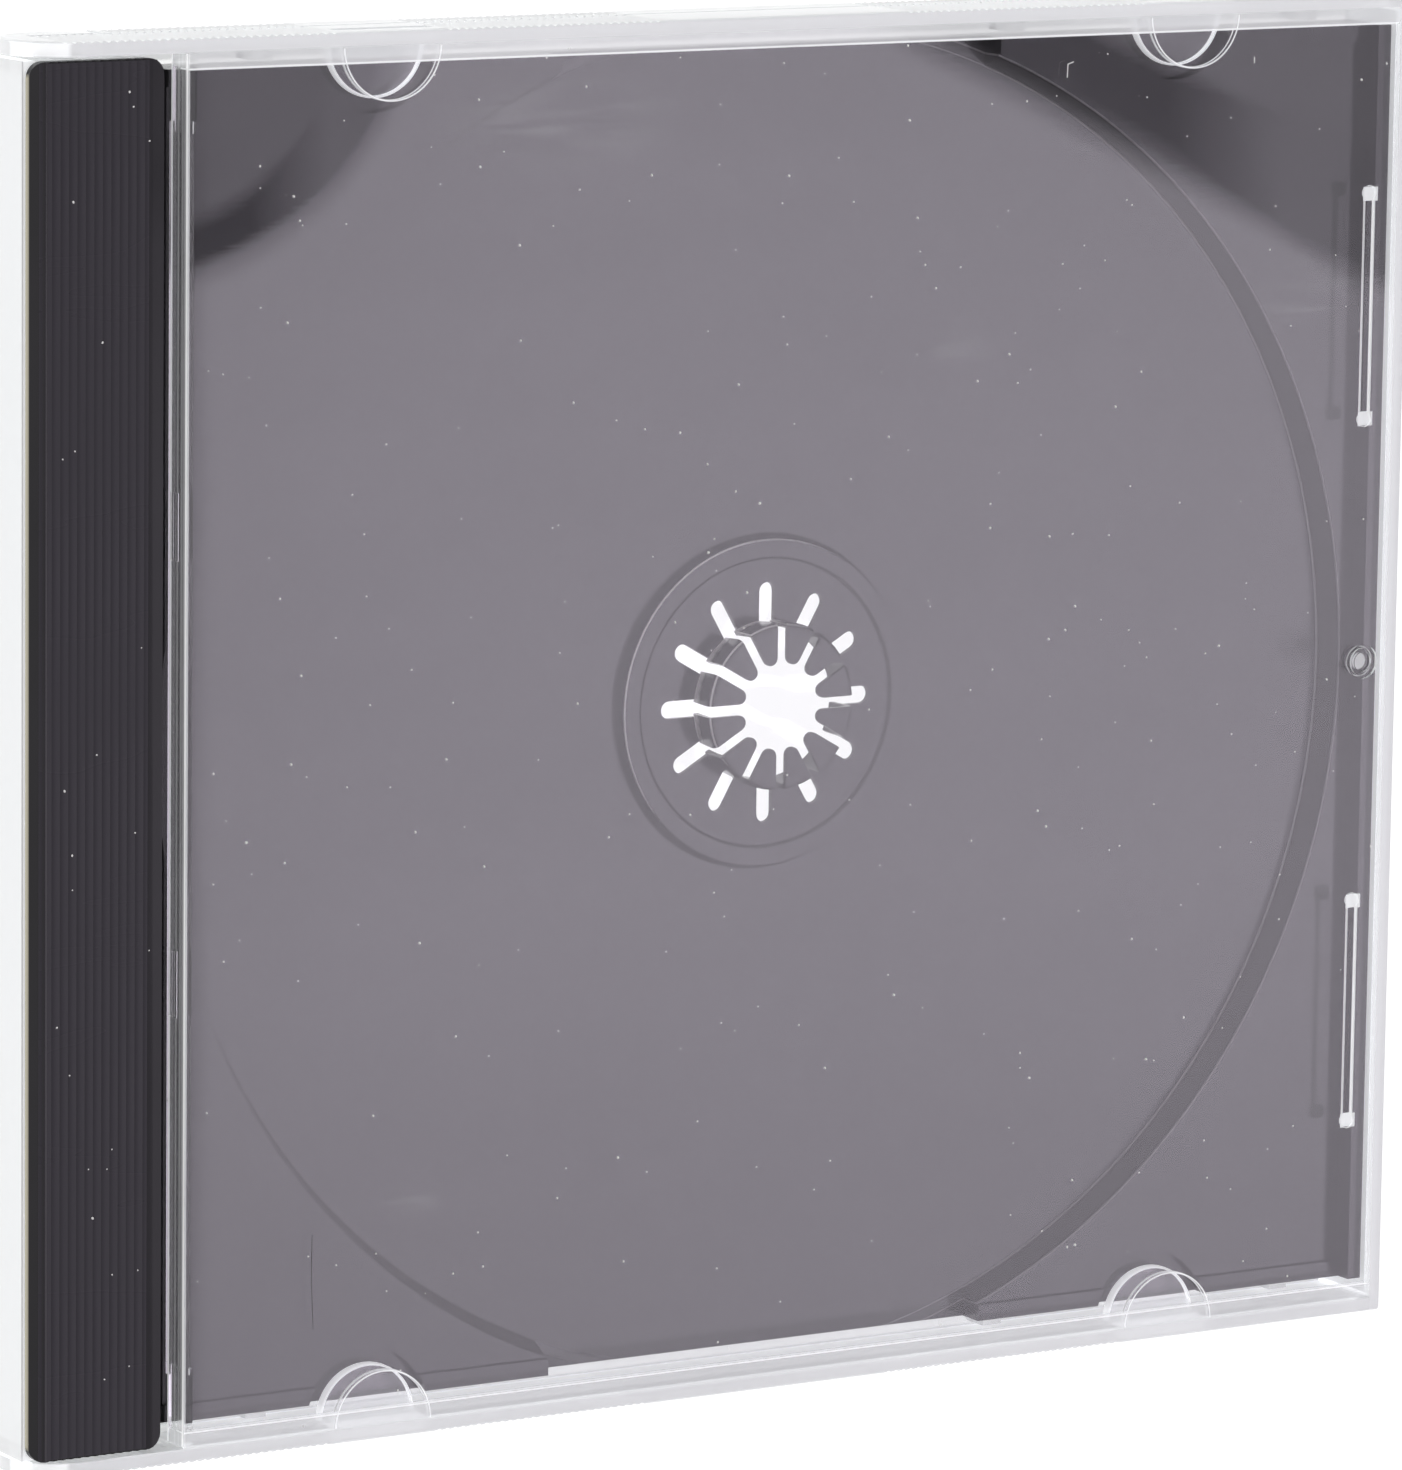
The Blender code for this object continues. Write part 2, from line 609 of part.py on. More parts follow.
def hub_teeth():
    """The ring of teeth: parallel gaps part the cup, and every tooth ends in a round tip."""
    half_pitch = 180 / TOOTH_COUNT
    side_slope = math.sin(math.radians(half_pitch))
    tip_x = (TOOTH_TIP_RADIUS - TOOTH_GAP / 2) / (1 - side_slope)
    tip_radius = tip_x - TOOTH_TIP_RADIUS
    reach = TOOTH_GRIP_RADIUS + OVERLAP
    outline = []
    for index in range(TOOTH_COUNT):
        gap_turn = 90 + 2 * half_pitch * index
        outline += in_ring([(reach, -TOOTH_GAP / 2), (reach, TOOTH_GAP / 2)], gap_turn)
        tip = arc((tip_x, 0), tip_radius, 270 - half_pitch, 90 + half_pitch, TIP_STEPS)
        outline += in_ring(tip, gap_turn + half_pitch)
    return cut(teeth_cup(), extrusion(outline, tray_bottom_z, CASE_DEPTH))


def hub_seat():
    """The round seat that the disc rests on, slotted so that the teeth can give."""
    ring_inner = SEAT_RADIUS - SEAT_RING_WIDTH
    dip_z = seat_z - SEAT_RING_RISE
    bore = TOOTH_ROOT_RADIUS - TOOTH_THICKNESS / 2
    base_radius = SEAT_RADIUS + SEAT_WALL_RUN
    collar_z = recess_floor_z - TRAY_WALL - HUB_COLLAR
    seat = turned(
        [(bore, dip_z - HUB_WALL), (SEAT_RADIUS - TRAY_WALL, dip_z - HUB_WALL),
         (SEAT_RADIUS - TRAY_WALL, collar_z), (base_radius, collar_z), (base_radius, recess_floor_z),
         (SEAT_RADIUS, seat_z), (ring_inner, seat_z), (ring_inner - SEAT_RING_RISE, dip_z), (bore, dip_z)],
        (hub_x, 0, 0), HUB_SEGMENTS)
    slot_end = SLOT_REACH - SLOT_WIDTH / 2
    slot = arc((slot_end, 0), SLOT_WIDTH / 2, -90, 90, ROUND_SEGMENTS // 3)
    slot += [(bore - OVERLAP, SLOT_WIDTH / 2), (bore - OVERLAP, -SLOT_WIDTH / 2)]
    for index in range(TOOTH_COUNT):
        outline = in_ring(slot, 90 + 360 * index / TOOTH_COUNT)
        cut(seat, extrusion(outline, collar_z - OVERLAP, seat_z + OVERLAP))
    return seat


def build_tray():
    """The black tray: body, strip, and the hub let into the recess floor."""
    tray = tray_body()
    join(tray, tray_strip())
    clear = SEAT_RADIUS - TRAY_WALL / 2
    hole = turned([(0, 0), (clear, 0), (clear, CASE_DEPTH), (0, CASE_DEPTH)], (hub_x, 0, 0), HUB_SEGMENTS)
    cut(tray, hole)
    join(tray, join(hub_seat(), hub_teeth()))
    return finish(tray, "disc_tray", BLACK_COLOUR, BLACK_ROUGHNESS)


clear_scene()
build_back()
build_tray()
build_lid()
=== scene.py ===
"""Clear hinged disc case with its black tray, dressed for a studio picture."""

import math

import bmesh
import bpy
from mathutils import Matrix, Vector


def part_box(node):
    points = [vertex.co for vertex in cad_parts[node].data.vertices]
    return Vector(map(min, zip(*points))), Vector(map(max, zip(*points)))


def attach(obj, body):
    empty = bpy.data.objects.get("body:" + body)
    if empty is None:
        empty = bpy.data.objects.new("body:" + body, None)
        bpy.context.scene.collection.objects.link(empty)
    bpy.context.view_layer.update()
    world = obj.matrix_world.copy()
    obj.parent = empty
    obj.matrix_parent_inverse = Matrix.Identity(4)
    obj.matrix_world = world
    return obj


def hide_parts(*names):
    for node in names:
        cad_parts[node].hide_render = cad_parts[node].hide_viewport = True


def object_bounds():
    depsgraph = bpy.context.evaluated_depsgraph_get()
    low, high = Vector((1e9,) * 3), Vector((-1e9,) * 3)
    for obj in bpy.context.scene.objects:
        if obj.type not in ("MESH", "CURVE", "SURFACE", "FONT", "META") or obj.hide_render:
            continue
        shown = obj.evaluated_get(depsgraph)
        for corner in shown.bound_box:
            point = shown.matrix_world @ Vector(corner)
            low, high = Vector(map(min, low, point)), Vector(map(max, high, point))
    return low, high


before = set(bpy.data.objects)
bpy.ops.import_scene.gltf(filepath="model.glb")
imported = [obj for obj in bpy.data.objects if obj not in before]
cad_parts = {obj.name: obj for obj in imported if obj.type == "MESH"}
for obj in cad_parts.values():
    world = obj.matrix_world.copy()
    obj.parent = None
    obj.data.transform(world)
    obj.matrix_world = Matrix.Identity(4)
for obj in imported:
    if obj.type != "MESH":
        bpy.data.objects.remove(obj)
cad_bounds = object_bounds()

bl_info = {
    "name": "Disc case",
    "version": (1, 0, 0),
    "blender": (4, 5, 0),
    "location": "View3D > Sidebar > Disc case",
    "description": "Clear hinged disc case with a black tray, built around its packed solids",
    "category": "Object",
}

MM = 0.001

# Limits for welding, rounding and shading a solid's mesh
MERGE_DISTANCE = 2e-6
FLAT_ANGLE = math.radians(0.4)
SHARP_ANGLE = math.radians(30)
CREASE_ANGLE = math.radians(34)

# Camera, fitted to the case's edges in the photograph with its real length
IMAGE_SIZE = (1402, 1470)
FOCAL_PIXELS = 8857.3
SENSOR_WIDTH = 36.0
CAMERA_PLACE = (-0.405373, 0.125683, 0.673956)
CAMERA_BACK = (-0.51012, 0.16196, 0.84472)
CAMERA_UP = (0.07261, 0.98671, -0.14533)

# Places and sizes on the case
case_low, case_high = (Vector(corner) for corner in cad_bounds)
tray_low, tray_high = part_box("disc_tray")
strip_right = tray_low.x + 12.6 * MM
lip_left = strip_right + 2.2 * MM
lip_right = lip_left + 0.9 * MM
lip_bottom_z = case_high.z - 3.4 * MM
rail_inner_y = case_high.y - 1.35 * MM
haze_inner_y = case_high.y - 2.7 * MM
spine_inner_x = case_high.x - 1.3 * MM
tab_radius = 4.8 * MM
tab_top_z = case_high.z - 3.4 * MM
tab_middle_x = 5.35 * MM
tab_reach_x = 41.55 * MM
thin_rib_x = case_high.x - 3.8 * MM
thin_rib_ends = (22.6 * MM, 43.6 * MM)
gate_dimple_radius = 0.8 * MM
gate_ring_radius = 1.39 * MM
deck_z = case_high.z - 3.8 * MM
floor_z = deck_z - 2.26 * MM
hub_x = 5.0 * MM
recess_radius = 60.75 * MM
recess_rim_radius = recess_radius + 1.0 * MM
seat_radius = 14.8 * MM
tooth_radius = 7.5 * MM

# Haze of the clear walls, which also carries their painted glow, as shares of the edge haze
RAIL_HAZE = 1.15
SPINE_HAZE = 1.25
TRAY_GAP_HAZE = 0.5

# Share of haze and painted glow up the lid's edge face, in painted light and dark bands, from the foot of
# its low wall to the top of the panel
LIP_LIGHT_BANDS = (
    (0.0, 0.0), (0.07, 0.1), (0.1, 1.0), (0.14, 1.0), (0.18, 0.2), (0.42, 0.2), (0.5, 0.42), (0.58, 0.06),
    (0.70, 0.42), (0.76, 0.25), (0.87, 0.45), (0.91, 1.0), (0.97, 1.0), (1.0, 0.5),
)

# Smears on the lid: centre x and y, half width and half height
SMEARS = (
    (-20.0 * MM, 53.5 * MM, 14.0 * MM, 5.0 * MM),
    (60.5 * MM, 35.0 * MM, 7.0 * MM, 4.0 * MM),
    (22.6 * MM, 32.0 * MM, 4.0 * MM, 3.0 * MM),
    (-33.7 * MM, -40.8 * MM, 3.5 * MM, 2.5 * MM),
)

# Fibres on the lid: points along each one, as x and y
PALE_LINT = (
    ((33.7 * MM, 56.9 * MM), (33.1 * MM, 56.7 * MM), (33.05 * MM, 55.5 * MM)),
    ((53.4 * MM, 56.7 * MM), (53.4 * MM, 56.1 * MM)),
)
DARK_HAIRS = (
    ((-43.45 * MM, -42.9 * MM), (-43.5 * MM, -47.0 * MM), (-43.3 * MM, -51.4 * MM)),
)

# Floor of the stage
FLOOR_HALF_WIDTH = 4.0
FLOOR_GAP = 0.25 * MM

# Softbox: its card over the case, and the two places where its cut corners leave the card dark
SOFTBOX_HEIGHT = 1.0
SOFTBOX_SIDES = ((0.05, 1.35), (-1.3, 0.12))
SOFTBOX_COLOUR = (1.0, 0.935, 1.05)
LEFT_CORNER = (0.4509, -0.0151)
LEFT_CORNER_REACH = (0.0405, 0.1005)
LEFT_CORNER_GLOW = (
    (0.0, 0.42), (0.27, 0.40), (0.35, 0.02), (0.44, 0.03), (0.485, 0.6), (0.56, 1.0),
)
LEFT_RIM_FADE = (0.480, 0.499)
LEFT_RIM_GLOW = (0.02, 0.43)
RIGHT_CORNER = (0.716, -0.072)
RIGHT_CORNER_SLOPE = (-0.417, -0.909)
RIGHT_CORNER_DEPTH = (-0.03, 0.03)
RIGHT_CORNER_GLOW = (
    (0.0, 0.5), (0.1, 0.48), (0.2, 0.04), (0.38, 0.06), (0.44, 0.25), (0.49, 0.6), (0.56, 1.0),
)
RIGHT_RIM_FADE = (0.714, 0.748)
RIGHT_RIM_GLOW = (0.06, 0.47)
HINGE_SIDE_FADE = (0.460, 0.471)
HINGE_SIDE_GLOW = (0.36, 1.0)
LOW_SIDE_FADE = (-0.35, -0.23)
LOW_SIDE_GLOW = (0.83, 1.0)


# User settings

class DiscCaseSizes(bpy.types.PropertyGroup):
    """Sizes of the parts that the solids leave plain."""

    rib_count: bpy.props.IntProperty(
        name="Strip ribs", description="Oval ribs along the black strip", default=13, min=1, max=40)
    rib_pitch: bpy.props.FloatProperty(
        name="Rib pitch", description="Distance from one rib to the next", default=0.8 * MM,
        subtype="DISTANCE", unit="LENGTH")
    rib_half_width: bpy.props.FloatProperty(
        name="Rib half width", description="Half the width of a rib's oval", default=0.8 * MM,
        subtype="DISTANCE", unit="LENGTH")
    rib_half_height: bpy.props.FloatProperty(
        name="Rib half height", description="Half the height of a rib's oval", default=0.11 * MM,
        subtype="DISTANCE", unit="LENGTH")
    rib_margin: bpy.props.FloatProperty(
        name="Rib margin", description="Plain band between the last rib and the strip's right edge",
        default=1.4 * MM, subtype="DISTANCE", unit="LENGTH")
    dust_density: bpy.props.FloatProperty(
        name="Dust density", description="Specks for each square metre of lid", default=20000.0, min=0.0)
    dust_size: bpy.props.FloatProperty(
        name="Dust size", description="Radius of a usual speck of dust", default=0.12 * MM,
        subtype="DISTANCE", unit="LENGTH")


class DiscCaseFinish(bpy.types.PropertyGroup):
    """Colours and finishes of the plastics and the studio."""

    clear_colour: bpy.props.FloatVectorProperty(
        name="Clear plastic", description="Tint of the clear polystyrene", subtype="COLOR", size=3,
        min=0.0, max=1.0, default=(0.985, 0.980, 0.995))
    # The back's grey tint is painted shade: it stands for the floor shaded under the case.
    back_colour: bpy.props.FloatVectorProperty(
        name="Clear back", description="Tint of the back, which the shaded floor shows through",
        subtype="COLOR", size=3, min=0.0, max=1.0, default=(0.92, 0.925, 0.925))
    # The haze's colour is also the colour of its painted glow.
    haze_colour: bpy.props.FloatVectorProperty(
        name="Edge haze", description="Colour of the haze in the case's thick edges",
        subtype="COLOR", size=3, min=0.0, max=1.0, default=(0.87, 0.885, 0.89))
    edge_haze: bpy.props.FloatProperty(
        name="Edge haze share", description="How much of the light the thick edges scatter", default=0.7,
        min=0.0, max=1.0)
    # The glows below are painted light: emission in the clear plastic's haze, standing in for light that
    # the plastic gathers and pipes.
    edge_glow: bpy.props.FloatProperty(
        name="Edge glow", description="Light that the clear plastic pipes into its bright lines",
        default=0.45, min=0.0)
    wall_glow: bpy.props.FloatProperty(
        name="Wall glow", description="Share of the edge glow that the rails and walls get", default=0.12,
        min=0.0, max=1.0)
    inner_glow: bpy.props.FloatProperty(
        name="Inner glow", description="Light that reaches the inner faces through the clear plastic",
        default=0.48, min=0.0)
    clear_index: bpy.props.FloatProperty(
        name="Refractive index", description="Refractive index of polystyrene",
        default=1.58, min=1.0, max=2.5)
    black_colour: bpy.props.FloatVectorProperty(
        name="Black plastic", description="Colour of the black polystyrene", subtype="COLOR", size=3,
        min=0.0, max=1.0, default=(0.011, 0.010, 0.0125))
    # Painted highlights: the light lines drawn along the black plastic's edges.
    worn_edge_colour: bpy.props.FloatVectorProperty(
        name="Light edges", description="Colour of the light lines on the black plastic's edges",
        subtype="COLOR", size=3, min=0.0, max=1.0, default=(0.80, 0.77, 0.79))
    # Painted light on the strip's outer side, in a warm tone.
    fringe_colour: bpy.props.FloatVectorProperty(
        name="Strip fringe", description="Warm tone of the strip's thin outer side",
        subtype="COLOR", size=3, min=0.0, max=1.0, default=(0.86, 0.80, 0.58))
    black_roughness: bpy.props.FloatProperty(
        name="Tray roughness", description="Mean roughness of the black tray",
        default=0.17, min=0.0, max=1.0)
    dust_colour: bpy.props.FloatVectorProperty(
        name="Dust", description="Colour of the dust on the lid", subtype="COLOR", size=3,
        min=0.0, max=1.0, default=(0.85, 0.84, 0.82))
    hair_colour: bpy.props.FloatVectorProperty(
        name="Hairs", description="Colour of the dark hairs on the lid", subtype="COLOR", size=3,
        min=0.0, max=1.0, default=(0.05, 0.045, 0.04))
    floor_colour: bpy.props.FloatVectorProperty(
        name="Floor", description="Colour of the pale floor", subtype="COLOR", size=3,
        min=0.0, max=1.0, default=(0.06, 0.06, 0.061))
    floor_glow: bpy.props.FloatProperty(
        name="Floor brightness", description="Light that the pale floor gives off", default=1.06, min=0.0)
    room_power: bpy.props.FloatProperty(
        name="Room brightness", description="Light from the room all around", default=0.72, min=0.0)
    softbox_power: bpy.props.FloatProperty(
        name="Softbox brightness", description="Radiance of the large soft light", default=1.75, min=0.0)


def sizes():
    """The sizes that the user has set."""
    return bpy.context.scene.disc_case_sizes


def finish():
    """The colours and finishes that the user has set."""
    return bpy.context.scene.disc_case_finish


# Node helpers

class NodeSheet:
    """A node tree that is written from left to right."""

    def __init__(self, tree):
        self.tree = tree
        self.column = 0

    def add(self, kind, settings=None, **inputs):
        """A new node; an input is named by its label, or by its number."""
        node = self.tree.nodes.new(kind)
        node.location = (self.column * 190, 0)
        self.column += 1
        for name, value in (settings or {}).items():
            setattr(node, name, value)
        for name, value in inputs.items():
            self.feed(node, name.replace("_", " "), value)
        return node

    def feed(self, node, name, value):
        """Link or set one input of a node."""
        socket = node.inputs[int(name)] if name.isdigit() else node.inputs[name]
        if isinstance(value, bpy.types.NodeSocket):
            self.tree.links.new(value, socket)
        else:
            socket.default_value = value

    def math(self, operation, first, second=0.0, third=0.0, clamp=False):
        """The result of one Math node."""
        node = self.add("ShaderNodeMath", {"operation": operation, "use_clamp": clamp})
        for index, value in enumerate((first, second, third)):
            self.feed(node, str(index), value)
        return node.outputs[0]

    def product(self, first, *others):
        """All the values multiplied."""
        for other in others:
            first = self.math("MULTIPLY", first, other)
        return first

    def largest(self, first, *others):
        """The largest of all the values."""
        for other in others:
            first = self.math("MAXIMUM", first, other)
        return first

    def distance(self, across, along):
        """Length of a step that goes across and along."""
        squares = self.math("ADD", self.math("POWER", across, 2.0), self.math("POWER", along, 2.0))
        return self.math("SQRT", squares)

    def noise(self, place, scale, detail=2.0, roughness=0.5):
        """A cloudy random grey."""
        settings = {"Scale": scale, "Detail": detail, "Roughness": roughness}
        return self.add("ShaderNodeTexNoise", Vector=place, **settings).outputs[0]

    def blend(self, share, first, second):
        """The first colour, with a share of the second one."""
        node = self.add("ShaderNodeMix", {"data_type": "RGBA"})
        for name, value in (("Factor", share), ("A", first), ("B", second)):
            self.feed(node, name, value)
        return node.outputs["Result"]

    def blend_shaders(self, share, first, second):
        """The first shader, with a share of the second one."""
        sockets = {"0": share, "1": first.outputs[0], "2": second.outputs[0]}
        return self.add("ShaderNodeMixShader", **sockets)

    def ramp(self, factor, stops):
        """A grey that follows the stops: (place, grey)."""
        node = self.add("ShaderNodeValToRGB")
        elements = node.color_ramp.elements
        while len(elements) < len(stops):
            elements.new(0.5)
        for element, (place, grey) in zip(elements, stops):
            element.position = place
            element.color = (grey, grey, grey, 1.0)
        self.feed(node, "0", factor)
        return node.outputs["Color"]

    def span(self, value, low, high, out_low, out_high):
        """out_low at low, out_high at high, even in between and level beyond."""
        node = self.add("ShaderNodeMapRange", {"clamp": True})
        for index, item in enumerate((value, low, high, out_low, out_high)):
            self.feed(node, str(index), item)
        return node.outputs[0]


def new_material(name):
    """An empty material, its node sheet and its Principled shader."""
    material = bpy.data.materials.new(name)
    material.use_nodes = True
    material.node_tree.nodes.clear()
    sheet = NodeSheet(material.node_tree)
    return material, sheet, sheet.add("ShaderNodeBsdfPrincipled")


def opaque(colour):
    """A colour with full alpha."""
    return (*colour, 1.0)


def show(sheet, shader):
    """Send a shader to the material's surface."""
    sheet.add("ShaderNodeOutputMaterial", Surface=shader.outputs[0])


def object_place(sheet, scale=(1, 1, 1), turn=0.0):
    """Object coordinates, stretched and turned for a pattern."""
    place = sheet.add("ShaderNodeTexCoord").outputs["Object"]
    return sheet.add("ShaderNodeMapping", Vector=place, Scale=scale, Rotation=(0.0, 0.0, turn)).outputs[0]


def place_axes(sheet, place):
    """The three coordinates of a place."""
    return sheet.add("ShaderNodeSeparateXYZ", Vector=place).outputs


# Plastics

def beyond_edge(sheet, axis_value, edge, softness=0.12 * MM):
    """1 outside an edge, measured from the middle of the case, and 0 inside it."""
    return sheet.span(sheet.math("ABSOLUTE", axis_value), edge - softness, edge + softness, 0.0, 1.0)


def between(sheet, axis_value, low, high, softness=0.08 * MM):
    """1 between two places on an axis and 0 outside them."""
    rise = sheet.span(axis_value, low - softness, low + softness, 0.0, 1.0)
    fall = sheet.span(axis_value, high - softness, high + softness, 1.0, 0.0)
    return sheet.product(rise, fall)


def clear_polystyrene(name, colour):
    """Polished clear plastic with a faint tint, hair scratches and hazy thick edges, whose haze carries a
    painted glow.
    """
    material, sheet, shader = new_material(name)
    settings = finish()
    shader.inputs["Base Color"].default_value = opaque(colour)
    shader.inputs["Transmission Weight"].default_value = 1.0
    shader.inputs["IOR"].default_value = settings.clear_index
    place = object_place(sheet)
    cloud = sheet.noise(place, 34.0, 5.0, 0.6)
    sheet.feed(shader, "Roughness", sheet.span(cloud, 0.42, 0.75, 0.0, 0.008))
    stretched = object_place(sheet, (60, 2200, 60), math.radians(58))
    scratches = sheet.noise(stretched, 1.0, 3.0)
    waves = sheet.noise(place, 42.0, 1.0)
    relief = sheet.math("ADD", sheet.product(scratches, 0.05), waves)
    bump = sheet.add("ShaderNodeBump", Height=relief, Strength=0.015, Distance=0.2 * MM)
    sheet.feed(shader, "Normal", bump.outputs[0])

    walls = wall_haze(sheet, place)
    lines = line_haze(sheet, place)
    smears = smear_haze(sheet, place)
    # Milky share with painted glow: emission along the bright lines and walls, and on the inner faces for
    # light that reaches them through the plastic.
    milky_with_glow = sheet.add("ShaderNodeBsdfPrincipled", Roughness=0.35)
    milky_with_glow.inputs["Base Color"].default_value = opaque(settings.haze_colour)
    milky_with_glow.inputs["Emission Color"].default_value = opaque(settings.haze_colour)
    wall_glow = settings.edge_glow * settings.wall_glow
    line_glow = sheet.math("MULTIPLY_ADD", lines, settings.edge_glow, wall_glow)
    inner_glow = sheet.product(walls, inside_case(sheet, place), settings.inner_glow)
    sheet.feed(milky_with_glow, "Emission Strength", sheet.math("ADD", line_glow, inner_glow))
    uneven = sheet.span(cloud, 0.3, 0.7, 0.88, 1.08)
    share = sheet.math("MULTIPLY", sheet.largest(walls, lines, smears), uneven, clamp=True)
    show(sheet, sheet.blend_shaders(share, shader, milky_with_glow))
    return material


def inside_case(sheet, place):
    """1 on the walls' faces inside the case and 0 on its outer faces."""
    skin = 0.15 * MM
    x, y, z = (between(sheet, axis_value, low + skin, high - skin, 0.05 * MM)
               for axis_value, low, high in zip(place_axes(sheet, place), case_low, case_high))
    return sheet.product(x, y, z)


def wall_haze(sheet, place):
    """Share of haze in the rails, the outer walls and the gap beside the tray; the haze there also
    carries the walls' painted glow.
    """
    x, y, _ = place_axes(sheet, place)
    rails = sheet.product(beyond_edge(sheet, y, rail_inner_y), RAIL_HAZE)
    spines = sheet.product(beyond_edge(sheet, x, spine_inner_x), SPINE_HAZE)
    beside_tray = sheet.product(beyond_edge(sheet, y, haze_inner_y), TRAY_GAP_HAZE)
    return sheet.product(sheet.largest(rails, spines, beside_tray), finish().edge_haze)


def line_haze(sheet, place):
    """Share of haze and painted glow in the bright lines that the lid's edges and marks show: painted
    highlights and reflections.
    """
    x, y, z = place_axes(sheet, place)
    from_middle = sheet.math("ABSOLUTE", y)
    to_rail = sheet.math("SUBTRACT", rail_inner_y, from_middle)
    in_panel = sheet.span(z, case_high.z - 1.5 * MM, case_high.z - 1.4 * MM, 0.0, 0.75)
    below_top = sheet.span(z, case_high.z - 1.15 * MM, case_high.z - 1.0 * MM, 0.9, 0.0)

    edges = sheet.largest(tab_rims(sheet, x, z, to_rail, in_panel), lip_bands(sheet, x, z))
    edges = sheet.product(edges, sheet.span(to_rail, 0.0, 0.1 * MM, 0.0, 1.0))
    marks = sheet.largest(thin_rib_lines(sheet, x, from_middle), gate_mark(sheet, x, y))
    # A painted highlight line in the panel over the tray's side.
    tray_side_highlight = between(sheet, from_middle, haze_inner_y - 0.12 * MM, haze_inner_y + 0.06 * MM, 0.03 * MM)
    tray_side_highlight = sheet.product(tray_side_highlight, in_panel, between(sheet, x, tray_low.x, tray_high.x))
    return sheet.largest(edges, sheet.product(marks, below_top), tray_side_highlight)


def tab_rims(sheet, x, z, to_rail, in_panel):
    """Painted highlights on the rims of the four half-moon tabs, and their thinner painted reflections in
    the panel above.
    """
    from_tab = sheet.math("ABSOLUTE", sheet.math("SUBTRACT", x, tab_middle_x))
    reach = sheet.distance(sheet.math("SUBTRACT", from_tab, tab_reach_x), to_rail)
    rim = between(sheet, reach, tab_radius - 0.22 * MM, tab_radius + 0.1 * MM, 0.05 * MM)
    on_tab = between(sheet, z, tab_top_z - 1.1 * MM, tab_top_z + 0.1 * MM, 0.05 * MM)
    image = between(sheet, reach, tab_radius - 0.14 * MM, tab_radius + 0.02 * MM, 0.03 * MM)
    return sheet.largest(sheet.product(rim, on_tab), sheet.product(image, in_panel))


def lip_bands(sheet, x, z):
    """Painted light and dark bands up the lid's edge face beside the strip."""
    bands = sheet.ramp(sheet.span(z, lip_bottom_z, case_high.z, 0.0, 1.0), LIP_LIGHT_BANDS)
    return sheet.product(bands, between(sheet, x, lip_left - 0.2 * MM, lip_left + 0.16 * MM, 0.04 * MM))


def thin_rib_lines(sheet, x, from_middle):
    """Painted highlights on both sides and the wider ends of the two thin ribs near the opening edge."""
    start, end = thin_rib_ends
    off_rib = sheet.math("ABSOLUTE", sheet.math("SUBTRACT", x, thin_rib_x))
    sides = between(sheet, off_rib, 0.36 * MM, 0.56 * MM, 0.03 * MM)
    sides = sheet.product(sides, between(sheet, from_middle, start, end))
    off_centre = sheet.math("ABSOLUTE", sheet.math("SUBTRACT", from_middle, (start + end) / 2))
    half_length = (end - start) / 2
    ends = sheet.product(
        sheet.span(off_centre, half_length - 0.75 * MM, half_length - 0.7 * MM, 0.0, 1.0),
        sheet.span(off_rib, 0.8 * MM, 0.85 * MM, 1.0, 0.0),
        between(sheet, from_middle, start - 0.6 * MM, end + 0.6 * MM))
    return sheet.largest(sides, ends)


def gate_mark(sheet, x, y):
    """Dimple and ring at the place where the lid's mould was filled, drawn as painted highlights."""
    reach = sheet.distance(sheet.math("SUBTRACT", x, thin_rib_x), y)
    dimple = between(sheet, reach, -MM, gate_dimple_radius)
    ring = between(sheet, reach, gate_ring_radius - 0.07 * MM, gate_ring_radius + 0.07 * MM, 0.03 * MM)
    return sheet.largest(sheet.product(dimple, 0.8), sheet.product(ring, 0.6))


def smear_haze(sheet, place):
    """Share of haze in the wiped smears that lie on the lid."""
    x, y, z = place_axes(sheet, place)
    wiped = object_place(sheet, (120, 1500, 120), math.radians(6))
    streaks = sheet.noise(wiped, 1.0, 4.0)
    spots = []
    for centre_x, centre_y, half_x, half_y in SMEARS:
        across = sheet.math("DIVIDE", sheet.math("SUBTRACT", x, centre_x), half_x)
        along = sheet.math("DIVIDE", sheet.math("SUBTRACT", y, centre_y), half_y)
        spread = sheet.math("POWER", sheet.distance(across, along), 2.0)
        spots.append(sheet.span(spread, 0.0, 1.0, 1.0, 0.0))
    on_top = sheet.span(z, case_high.z - 0.1 * MM, case_high.z - 0.05 * MM, 0.0, 1.0)
    return sheet.product(sheet.largest(*spots), sheet.span(streaks, 0.45, 0.7, 0.0, 0.1), on_top)


